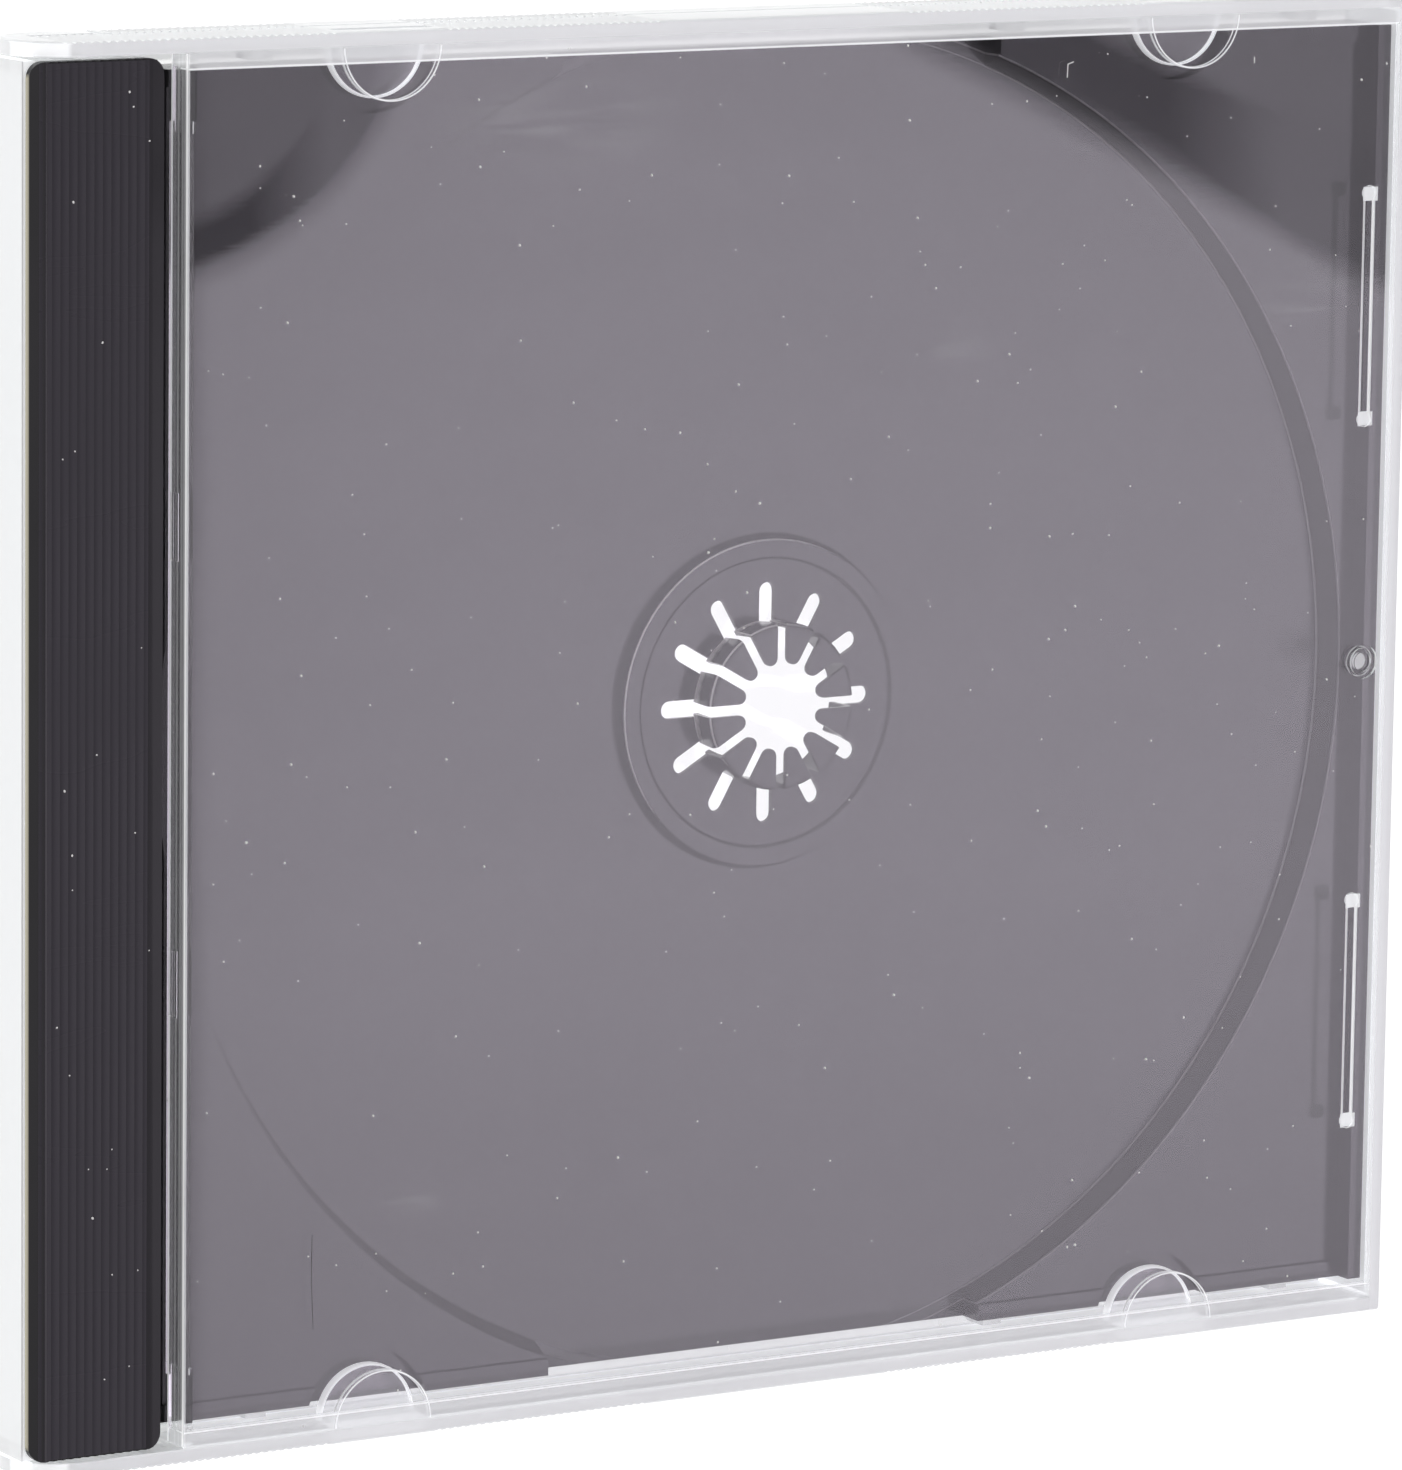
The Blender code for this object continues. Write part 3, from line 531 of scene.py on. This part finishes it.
def black_polystyrene(name, roughness, shine, tone=1.0, ribbed=False):
    """Black moulded plastic, semi gloss, with a faint moulding texture, flow marks, painted highlight
    lines on its edges, painted light on the strip's outer side and painted shade in the gap beside the
    strip.

    The ribbed one has painted light along the crowns of the strip's ribs and painted shade between them.
    """
    material, sheet, shader = new_material(name)
    settings = finish()
    place = object_place(sheet)
    # The ribbed one's colour follows painted light on its rib crowns and painted shade between them; the
    # others get a random mottle.
    if ribbed:
        shade = sheet.math("MULTIPLY_ADD", rib_wave(sheet, place), 0.2, 0.5)
    else:
        shade = sheet.span(sheet.noise(place, 55.0, 6.0, 0.65), 0.35, 0.7, 0.0, 1.0)
    dark = Vector(settings.black_colour) * tone
    colour = sheet.blend(shade, opaque(dark * 0.8), opaque(dark * 1.5))
    # Painted highlight lines along the recess, the seat and the teeth.
    colour = sheet.blend(edge_sheen(sheet, place), colour, opaque(settings.worn_edge_colour))
    # Painted light on the strip's outer side.
    colour = sheet.blend(strip_fringe(sheet, place), colour, opaque(settings.fringe_colour))
    sheet.feed(shader, "Base Color", colour)
    shader.inputs["IOR"].default_value = settings.clear_index
    shader.inputs["Specular IOR Level"].default_value = shine
    flow = sheet.noise(object_place(sheet, (14, 90, 14)), 1.0, 4.0)
    sheet.feed(shader, "Roughness", sheet.span(flow, 0.3, 0.7, roughness * 0.85, roughness * 1.2))
    relief = sheet.noise(place, 5200.0)
    if ribbed:
        drawn_lines = sheet.noise(object_place(sheet, (2600, 40, 40)), 1.0, 3.0)
        relief = sheet.math("ADD", relief, sheet.product(drawn_lines, 0.6))
    bump = sheet.add("ShaderNodeBump", Height=relief, Strength=0.04, Distance=0.02 * MM)
    sheet.feed(shader, "Normal", bump.outputs[0])
    # Dark matt share: the strip's duller skin, and painted shade in the gap beside it.
    dull = sheet.add("ShaderNodeBsdfDiffuse", Color=opaque(dark * 0.4))
    show(sheet, sheet.blend_shaders(dull_share(sheet, place), shader, dull))
    return material


def rib_wave(sheet, place):
    """1 along the crown of each rib and -1 between them."""
    x, _, _ = place_axes(sheet, place)
    last_rib_x = strip_right - sizes().rib_margin
    turns = sheet.product(sheet.math("SUBTRACT", x, last_rib_x), math.tau / sizes().rib_pitch)
    return sheet.math("COSINE", turns)


def dull_share(sheet, place):
    """The strip has a duller skin than the deck; the gap beside it is made nearly matt and dark, a
    painted shade.
    """
    x, _, _ = place_axes(sheet, place)
    gap = between(sheet, x, strip_right + 0.02 * MM, lip_left - 0.1 * MM, 0.05 * MM)
    strip = sheet.span(x, strip_right, strip_right + 0.1 * MM, 0.3, 0.0)
    return sheet.largest(sheet.product(gap, 0.85), strip)


def edge_sheen(sheet, place):
    """Painted highlight lines on the recess, the seat and the teeth: the recess's edge lines grow towards
    the opening side, and the rings' lines show only on one side, as the light falls.
    """
    x, y, _ = place_axes(sheet, place)
    off_x = sheet.math("SUBTRACT", x, hub_x)
    reach = sheet.distance(off_x, y)
    wall = between(sheet, reach, recess_radius + 0.1 * MM, recess_rim_radius - 0.1 * MM)
    foot = between(sheet, reach, recess_radius - 0.12 * MM, recess_radius + 0.04 * MM, 0.03 * MM)
    rim = between(sheet, reach, recess_rim_radius - 0.06 * MM, recess_rim_radius + 0.12 * MM, 0.03 * MM)
    opening_side = sheet.span(off_x, -20.0 * MM, 20.0 * MM, 0.0, 0.2)
    edges = sheet.product(sheet.largest(foot, rim), opening_side)
    recess = sheet.largest(sheet.product(wall, 0.05), edges)

    facing = sheet.math("DIVIDE", sheet.math("SUBTRACT", sheet.product(y, 0.8), off_x), reach)
    seat = between(sheet, reach, seat_radius - 0.12 * MM, seat_radius + 0.02 * MM, 0.03 * MM)
    shoulder = between(sheet, reach, tooth_radius - 0.16 * MM, tooth_radius - 0.02 * MM, 0.03 * MM)
    rings = sheet.product(sheet.largest(seat, shoulder), sheet.span(facing, 0.2, 1.0, 0.0, 0.95))
    return sheet.largest(recess, rings)


def strip_fringe(sheet, place):
    """Painted light on the strip's outer side: a warm light tone below its upper edge, fading towards the
    top.
    """
    x, _, z = place_axes(sheet, place)
    side = sheet.span(x, tray_low.x, tray_low.x + 0.06 * MM, 1.0, 0.0)
    return sheet.product(side, sheet.span(z, tray_high.z - 1.0 * MM, tray_high.z - 0.05 * MM, 1.0, 0.1))


def dust_material(name, colour):
    """Dust, lint or hair, slightly uneven in colour, with a faint painted glow."""
    material, sheet, shader = new_material(name)
    cloud = sheet.noise(object_place(sheet), 900.0)
    tint = sheet.blend(cloud, opaque(Vector(colour) * 0.75), opaque(colour))
    sheet.feed(shader, "Base Color", tint)
    # Painted light: the specks glow faintly in their own colour.
    sheet.feed(shader, "Emission Color", tint)
    shader.inputs["Emission Strength"].default_value = 0.15
    shader.inputs["Roughness"].default_value = 0.9
    show(sheet, shader)
    return material


# Mesh helpers

def merged_copy(node, name):
    """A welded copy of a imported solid, with its flat faces made whole."""
    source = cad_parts[node].data
    mesh = bpy.data.meshes.new(name)
    mesh.from_pydata([tuple(corner.co) for corner in source.vertices], [],
                     [tuple(face.vertices) for face in source.polygons])
    builder = bmesh.new()
    builder.from_mesh(mesh)
    bmesh.ops.remove_doubles(builder, verts=builder.verts, dist=MERGE_DISTANCE)
    bmesh.ops.dissolve_limit(builder, angle_limit=FLAT_ANGLE, use_dissolve_boundaries=False,
                             verts=builder.verts, edges=builder.edges)
    bmesh.ops.recalc_face_normals(builder, faces=builder.faces)
    builder.to_mesh(mesh)
    builder.free()
    return placed(name, mesh)


def placed(name, data):
    """A new object at the origin of the scene."""
    thing = bpy.data.objects.new(name, data)
    bpy.context.scene.collection.objects.link(thing)
    return thing


def from_hub(place):
    """Distance from the hub's axis."""
    return math.hypot(place.x - hub_x, place.y)


def soften(piece, chosen, width):
    """Round the sharp edges that chosen(middle, direction) picks."""
    builder = bmesh.new()
    builder.from_mesh(piece.data)
    picked = []
    for edge in builder.edges:
        if len(edge.link_faces) == 2 and edge.calc_face_angle(0.0) > SHARP_ANGLE:
            low, high = edge.verts[0].co, edge.verts[1].co
            if chosen((low + high) / 2, (high - low).normalized()):
                picked.append(edge)
    bmesh.ops.bevel(builder, geom=picked, offset=width, offset_type="OFFSET", segments=2,
                    profile=0.5, affect="EDGES", clamp_overlap=True)
    builder.to_mesh(piece.data)
    builder.free()


def shade_by_angle(piece):
    """Smooth shading that keeps sharp edges and flat faces."""
    piece.data.shade_smooth()
    piece.data.set_sharp_from_angle(angle=CREASE_ANGLE)
    weighted = piece.modifiers.new("flat_faces", "WEIGHTED_NORMAL")
    weighted.keep_sharp = True
    weighted.weight = 90
    apply_modifiers(piece)


def apply_modifiers(piece):
    """Turn what the modifiers make into the piece's own mesh."""
    bpy.context.view_layer.update()
    graph = bpy.context.evaluated_depsgraph_get()
    mesh = bpy.data.meshes.new_from_object(piece.evaluated_get(graph), preserve_all_data_layers=True,
                                           depsgraph=graph)
    piece.modifiers.clear()
    piece.data = mesh
    mesh.name = piece.name


def dress(piece, body, material, slot, *replaced):
    """Give a finished piece its material and tie it to its body."""
    piece.data.materials.clear()
    piece.data.materials.append(material)
    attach(piece, body)
    if replaced:
        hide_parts(*replaced)
    return piece


# Geometry Nodes

def new_tree(name, inputs):
    """A Geometry Nodes tree with named inputs: (name, socket type, default)."""
    tree = bpy.data.node_groups.new(name, "GeometryNodeTree")
    tree.interface.new_socket("Geometry", in_out="INPUT", socket_type="NodeSocketGeometry")
    tree.interface.new_socket("Geometry", in_out="OUTPUT", socket_type="NodeSocketGeometry")
    for label, kind, default in inputs:
        socket = tree.interface.new_socket(label, in_out="INPUT", socket_type=kind)
        if default is not None:
            socket.default_value = default
    sheet = NodeSheet(tree)
    start = sheet.add("NodeGroupInput")
    return tree, sheet, start.outputs


def end_tree(sheet, geometry, material):
    """Finish a tree: real geometry, smooth faces and the material."""
    real = sheet.add("GeometryNodeRealizeInstances", Geometry=geometry)
    smooth = sheet.add("GeometryNodeSetShadeSmooth", Geometry=real.outputs[0])
    painted = sheet.add("GeometryNodeSetMaterial", Geometry=smooth.outputs[0], Material=material)
    sheet.add("NodeGroupOutput", Geometry=painted.outputs[0])


def run_tree(name, tree, base, values):
    """Run a tree on a base mesh and keep the result as a plain mesh object."""
    piece = placed(name, base)
    modifier = piece.modifiers.new(name, "NODES")
    modifier.node_group = tree
    for item in tree.interface.items_tree:
        if item.item_type == "SOCKET" and item.in_out == "INPUT" and item.name in values:
            modifier[item.identifier] = values[item.name]
    apply_modifiers(piece)
    return piece


def rib_tree():
    """Oval ribs laid side by side along X, each one a closed rod along Y."""
    tree, sheet, given = new_tree("oval_ribs", [
        ("Count", "NodeSocketInt", 13), ("Pitch", "NodeSocketFloat", 0.8 * MM),
        ("Oval", "NodeSocketVector", None), ("First rib", "NodeSocketVector", None),
        ("Material", "NodeSocketMaterial", None)])
    step = sheet.add("ShaderNodeCombineXYZ", X=given["Pitch"])
    row = sheet.add("GeometryNodeMeshLine", {"mode": "OFFSET"}, Count=given["Count"],
                    Start_Location=given["First rib"], Offset=step.outputs[0])
    rod = sheet.add("GeometryNodeMeshCylinder", Vertices=48, Radius=1.0, Depth=1.0)
    lying = sheet.add("GeometryNodeTransform", Geometry=rod.outputs[0], Rotation=(math.pi / 2, 0.0, 0.0))
    oval = sheet.add("GeometryNodeTransform", Geometry=lying.outputs[0], Scale=given["Oval"])
    rods = sheet.add("GeometryNodeInstanceOnPoints", Points=row.outputs[0], Instance=oval.outputs[0])
    end_tree(sheet, rods.outputs[0], given["Material"])
    return tree


def dust_tree():
    """Flat specks scattered over the base faces."""
    tree, sheet, given = new_tree("dust_specks", [
        ("Density", "NodeSocketFloat", 4000.0), ("Size", "NodeSocketFloat", 0.07 * MM),
        ("Seed", "NodeSocketInt", 7), ("Material", "NodeSocketMaterial", None)])
    points = sheet.add("GeometryNodeDistributePointsOnFaces", Mesh=given["Geometry"],
                       Density=given["Density"], Seed=given["Seed"])
    speck = sheet.add("GeometryNodeMeshIcoSphere", Radius=given["Size"], Subdivisions=1)
    spread = sheet.add("FunctionNodeRandomValue", {"data_type": "FLOAT"}, Seed=given["Seed"])
    sheet.feed(spread, "2", 0.35)
    sheet.feed(spread, "3", 1.0)
    wide = sheet.math("MULTIPLY_ADD", sheet.math("POWER", spread.outputs[1], 3.0), 0.9, 0.6)
    scale = sheet.add("ShaderNodeCombineXYZ", X=wide, Y=sheet.product(wide, 0.8), Z=0.35)
    turn = sheet.add("FunctionNodeRandomValue", {"data_type": "FLOAT"}, Seed=given["Seed"])
    sheet.feed(turn, "2", 0.0)
    sheet.feed(turn, "3", math.tau)
    angle = sheet.add("ShaderNodeCombineXYZ", Z=turn.outputs[1])
    specks = sheet.add("GeometryNodeInstanceOnPoints", Points=points.outputs[0],
                       Instance=speck.outputs[0], Rotation=angle.outputs[0], Scale=scale.outputs[0])
    end_tree(sheet, specks.outputs[0], given["Material"])
    return tree


def sheet_mesh(name, x_range, y_range, z):
    """One flat face, which looks up."""
    (left, right), (front, back) = x_range, y_range
    corners = [(left, front, z), (right, front, z), (right, back, z), (left, back, z)]
    mesh = bpy.data.meshes.new(name)
    mesh.from_pydata(corners, [], [(0, 1, 2, 3)])
    return mesh


# Operators

class DISCCASE_OT_clear_back(bpy.types.Operator):
    """Clear back with its walls, sockets and clips"""

    bl_idname = "disccase.clear_back"
    bl_label = "Clear back"

    def execute(self, context):
        piece = merged_copy("back_case", "clear_back")
        shade_by_angle(piece)
        # A darker copy of the clear plastic: painted shade for the shaded floor under the back.
        clear = clear_polystyrene("clear_back", finish().back_colour)
        dress(piece, "base", clear, "back_case", "back_case")
        return {"FINISHED"}


class DISCCASE_OT_clear_lid(bpy.types.Operator):
    """Clear lid with its rails, hinge ears, tabs and ribs"""

    bl_idname = "disccase.clear_lid"
    bl_label = "Clear lid"

    def execute(self, context):
        piece = merged_copy("front_lid", "clear_lid")
        soften(piece, self.tab_rim, 0.22 * MM)
        soften(piece, self.lip_edge, 0.2 * MM)
        soften(piece, self.thin_rib_edge, 0.12 * MM)
        shade_by_angle(piece)
        clear = clear_polystyrene("clear_lid", finish().clear_colour)
        dress(piece, "lid", clear, "front_lid", "front_lid")
        return {"FINISHED"}

    def tab_rim(self, middle, direction):
        """The curved rims of the half-moon tabs."""
        inside_rails = abs(middle.y) < case_high.y - 1.6 * MM and middle.x > lip_right
        on_tab = tab_top_z - 1.7 * MM < middle.z < tab_top_z + 0.1 * MM
        return inside_rails and on_tab and abs(direction.z) < 0.1

    def lip_edge(self, middle, direction):
        """The long edges of the panel and of the low wall on the hinge side."""
        return abs(direction.y) > 0.9 and lip_left - 0.1 * MM < middle.x < lip_right + 0.1 * MM

    def thin_rib_edge(self, middle, direction):
        """The edges of the two thin ribs near the opening edge."""
        near_rib = thin_rib_x - 1.7 * MM < middle.x < thin_rib_x + 1.6 * MM
        beside_rib = thin_rib_ends[0] - 1.6 * MM < abs(middle.y) < thin_rib_ends[1] + 2.4 * MM
        return near_rib and beside_rib and middle.z < case_high.z - 1.0 * MM


class DISCCASE_OT_black_tray(bpy.types.Operator):
    """Black tray with its disc recess and toothed hub"""

    bl_idname = "disccase.black_tray"
    bl_label = "Black tray"

    def execute(self, context):
        piece = merged_copy("disc_tray", "black_tray")
        soften(piece, self.recess_rim, 0.12 * MM)
        soften(piece, self.recess_foot, 0.12 * MM)
        soften(piece, self.seat_edges, 0.09 * MM)
        soften(piece, self.tooth_edges, 0.06 * MM)
        shade_by_angle(piece)
        black = black_polystyrene("black_tray", finish().black_roughness, shine=0.5)
        dress(piece, "base", black, "disc_tray", "disc_tray")
        return {"FINISHED"}

    def recess_rim(self, middle, direction):
        """The upper edge of the disc recess."""
        on_rim = recess_rim_radius - 0.25 * MM < from_hub(middle) < recess_rim_radius + 0.45 * MM
        return on_rim and middle.z > deck_z - 0.1 * MM

    def recess_foot(self, middle, direction):
        """The lower edge of the disc recess."""
        return abs(middle.z - floor_z) < 0.05 * MM and abs(from_hub(middle) - recess_radius) < 0.25 * MM

    def seat_edges(self, middle, direction):
        """The rings of the seat that a disc rests on."""
        on_seat = seat_radius - 1.9 * MM < from_hub(middle) < seat_radius + 0.6 * MM
        return on_seat and middle.z > floor_z - 0.05 * MM

    def tooth_edges(self, middle, direction):
        """The edges of the hub's teeth."""
        return middle.z > floor_z + 0.8 * MM and from_hub(middle) < tooth_radius + 0.3 * MM


class DISCCASE_OT_strip_ribs(bpy.types.Operator):
    """Low oval ribs along the black strip beside the hinge"""

    bl_idname = "disccase.strip_ribs"
    bl_label = "Strip ribs"

    def execute(self, context):
        chosen = sizes()
        first_rib_x = strip_right - chosen.rib_margin - chosen.rib_pitch * (chosen.rib_count - 1)
        first = Vector((first_rib_x, 0.0, tray_high.z - chosen.rib_half_height))
        rib_length = tray_high.y - tray_low.y - 0.3 * MM
        oval = Vector((chosen.rib_half_width, rib_length, chosen.rib_half_height))
        roughness = finish().black_roughness * 1.6
        # The ribs get a black 2.8 times lighter than the tray's: a lit copy of the same plastic, painted
        # light for what the ribbed strip scatters.
        black = black_polystyrene("black_ribs", roughness, shine=0.32, tone=2.8, ribbed=True)
        piece = run_tree("strip_ribs", rib_tree(), bpy.data.meshes.new("strip_ribs"), {
            "Count": chosen.rib_count, "Pitch": chosen.rib_pitch, "Oval": oval, "First rib": first,
            "Material": black})
        shade_by_angle(piece)
        dress(piece, "base", black, "disc_tray")
        return {"FINISHED"}


class DISCCASE_OT_dust(bpy.types.Operator):
    """Dust specks on the lid and on the black strip"""

    bl_idname = "disccase.dust"
    bl_label = "Dust"

    def execute(self, context):
        chosen = sizes()
        pale = dust_material("pale_dust", finish().dust_colour)
        tree = dust_tree()
        lid_x = (strip_right + 3 * MM, case_high.x - 2 * MM)
        strip_x = (tray_low.x + MM, strip_right - MM)
        grounds = (
            ("lid_dust", "lid", "front_lid", lid_x, case_high.z, 11),
            ("strip_dust", "base", "disc_tray", strip_x, tray_high.z, 5),
        )
        for name, body, slot, x_range, z, seed in grounds:
            ground = sheet_mesh(name, x_range, (case_low.y + 2 * MM, case_high.y - 2 * MM), z)
            piece = run_tree(name, tree, ground, {
                "Density": chosen.dust_density, "Size": chosen.dust_size, "Seed": seed, "Material": pale})
            dress(piece, body, pale, slot)
        return {"FINISHED"}


class DISCCASE_OT_lint(bpy.types.Operator):
    """Thin fibres of lint on the lid"""

    bl_idname = "disccase.lint"
    bl_label = "Lint"

    def execute(self, context):
        self.lay_fibres(context, "pale_lint", PALE_LINT, 0.055 * MM, finish().dust_colour)
        self.lay_fibres(context, "dark_hairs", DARK_HAIRS, 0.025 * MM, finish().hair_colour)
        return {"FINISHED"}

    def lay_fibres(self, context, name, fibres, radius, colour):
        """Round fibres of one kind, sunk halfway into the lid's face."""
        curve = bpy.data.curves.new(name, "CURVE")
        curve.dimensions = "3D"
        curve.bevel_depth = radius
        curve.bevel_resolution = 1
        curve.use_fill_caps = True
        for places in fibres:
            fibre = curve.splines.new("POLY")
            fibre.points.add(len(places) - 1)
            for point, (x, y) in zip(fibre.points, places):
                point.co = (x, y, case_high.z + 0.5 * radius, 1.0)
        drawn = placed(name + "_curve", curve)
        mesh = bpy.data.meshes.new_from_object(drawn.evaluated_get(context.evaluated_depsgraph_get()))
        bpy.data.objects.remove(drawn)
        dress(placed(name, mesh), "lid", dust_material(name, colour), "front_lid")


# Stage

def softbox_strength(sheet):
    """Even light over the softbox's card, with both cut corners dark and its rims dimmer."""
    place = sheet.add("ShaderNodeTexCoord").outputs["Object"]
    x, y, _ = place_axes(sheet, place)

    def step_from(corner):
        return sheet.math("SUBTRACT", x, corner[0]), sheet.math("SUBTRACT", y, corner[1])

    reach = sheet.distance(*step_from(LEFT_CORNER))
    left = sheet.ramp(sheet.span(reach, *LEFT_CORNER_REACH, 0.0, 1.0), LEFT_CORNER_GLOW)
    left = sheet.largest(left, sheet.span(x, *LEFT_RIM_FADE, *LEFT_RIM_GLOW))

    across, along = step_from(RIGHT_CORNER)
    slope_x, slope_y = RIGHT_CORNER_SLOPE
    depth = sheet.math("MULTIPLY_ADD", along, slope_y, sheet.product(across, slope_x))
    right = sheet.ramp(sheet.span(depth, *RIGHT_CORNER_DEPTH, 0.0, 1.0), RIGHT_CORNER_GLOW)
    right = sheet.largest(right, sheet.span(x, *RIGHT_RIM_FADE, *RIGHT_RIM_GLOW))

    hinge_side = sheet.span(x, *HINGE_SIDE_FADE, *HINGE_SIDE_GLOW)
    low_side = sheet.span(y, *LOW_SIDE_FADE, *LOW_SIDE_GLOW)
    fall_off = sheet.product(hinge_side, low_side)
    return sheet.product(sheet.math("MINIMUM", left, right), fall_off, finish().softbox_power)


class DISCCASE_OT_stage(bpy.types.Operator):
    """Pale floor, soft studio light and the camera"""

    bl_idname = "disccase.stage"
    bl_label = "Stage"

    def execute(self, context):
        self.make_floor()
        self.make_softbox()
        self.make_room(context.scene)
        self.make_camera(context.scene)
        return {"FINISHED"}

    def make_floor(self):
        """A wide pale floor, a hair under the case."""
        sides = (-FLOOR_HALF_WIDTH, FLOOR_HALF_WIDTH)
        floor = placed("floor", sheet_mesh("floor", sides, sides, -FLOOR_GAP))
        material, sheet, shader = new_material("pale_floor")
        shader.inputs["Base Color"].default_value = opaque(finish().floor_colour)
        shader.inputs["Roughness"].default_value = 0.7
        shader.inputs["Emission Color"].default_value = (1.0, 1.0, 1.0, 1.0)
        shader.inputs["Emission Strength"].default_value = finish().floor_glow
        show(sheet, shader)
        floor.data.materials.append(material)

    def make_softbox(self):
        """A glowing card over the case that the camera doesn't see, but its reflections do."""
        card = placed("softbox", sheet_mesh("softbox", *SOFTBOX_SIDES, SOFTBOX_HEIGHT))
        card.data.flip_normals()
        card.visible_camera = False
        material = bpy.data.materials.new("softbox")
        material.use_nodes = True
        material.node_tree.nodes.clear()
        sheet = NodeSheet(material.node_tree)
        strength = softbox_strength(sheet)
        show(sheet, sheet.add("ShaderNodeEmission", Color=opaque(SOFTBOX_COLOUR), Strength=strength))
        card.data.materials.append(material)

    def make_room(self, scene):
        """Even light from all around."""
        world = bpy.data.worlds.new("studio_room")
        world.use_nodes = True
        background = world.node_tree.nodes["Background"]
        background.inputs["Color"].default_value = (1.0, 0.985, 1.0, 1.0)
        background.inputs["Strength"].default_value = finish().room_power
        scene.world = world
        scene.view_settings.view_transform = "Standard"
        scene.view_settings.look = "None"

    def make_camera(self, scene):
        """The camera looks down on the case from beyond its hinge side."""
        data = bpy.data.cameras.new("camera")
        data.sensor_width = SENSOR_WIDTH
        data.lens = FOCAL_PIXELS / max(IMAGE_SIZE) * SENSOR_WIDTH
        data.clip_start = 0.05
        camera = placed("camera", data)
        back = Vector(CAMERA_BACK).normalized()
        side = Vector(CAMERA_UP).cross(back).normalized()
        turn = Matrix((side, back.cross(side), back)).transposed().to_4x4()
        camera.matrix_world = Matrix.Translation(CAMERA_PLACE) @ turn
        scene.camera = camera


class DISCCASE_PT_panel(bpy.types.Panel):
    """Lists the case's sizes, finishes and pieces"""

    bl_label = "Disc case"
    bl_space_type = "VIEW_3D"
    bl_region_type = "UI"
    bl_category = "Disc case"

    def draw(self, context):
        for group in (context.scene.disc_case_sizes, context.scene.disc_case_finish):
            box = self.layout.box()
            for name in group.bl_rna.properties.keys():
                if name not in ("rna_type", "name"):
                    box.prop(group, name)
        for operator in OPERATORS:
            self.layout.operator(operator.bl_idname)


OPERATORS = (
    DISCCASE_OT_stage,
    DISCCASE_OT_clear_back,
    DISCCASE_OT_black_tray,
    DISCCASE_OT_strip_ribs,
    DISCCASE_OT_clear_lid,
    DISCCASE_OT_dust,
    DISCCASE_OT_lint,
)
CLASSES = (DiscCaseSizes, DiscCaseFinish, *OPERATORS, DISCCASE_PT_panel)


def register():
    for item in CLASSES:
        bpy.utils.register_class(item)
    bpy.types.Scene.disc_case_sizes = bpy.props.PointerProperty(type=DiscCaseSizes)
    bpy.types.Scene.disc_case_finish = bpy.props.PointerProperty(type=DiscCaseFinish)


def unregister():
    del bpy.types.Scene.disc_case_finish
    del bpy.types.Scene.disc_case_sizes
    for item in reversed(CLASSES):
        bpy.utils.unregister_class(item)


def main():
    """Make the stage and every piece."""
    register()
    bpy.ops.disccase.stage()
    bpy.ops.disccase.clear_back()
    bpy.ops.disccase.black_tray()
    bpy.ops.disccase.strip_ribs()
    bpy.ops.disccase.clear_lid()
    bpy.ops.disccase.dust()
    bpy.ops.disccase.lint()


if __name__ == "__main__":
    main()
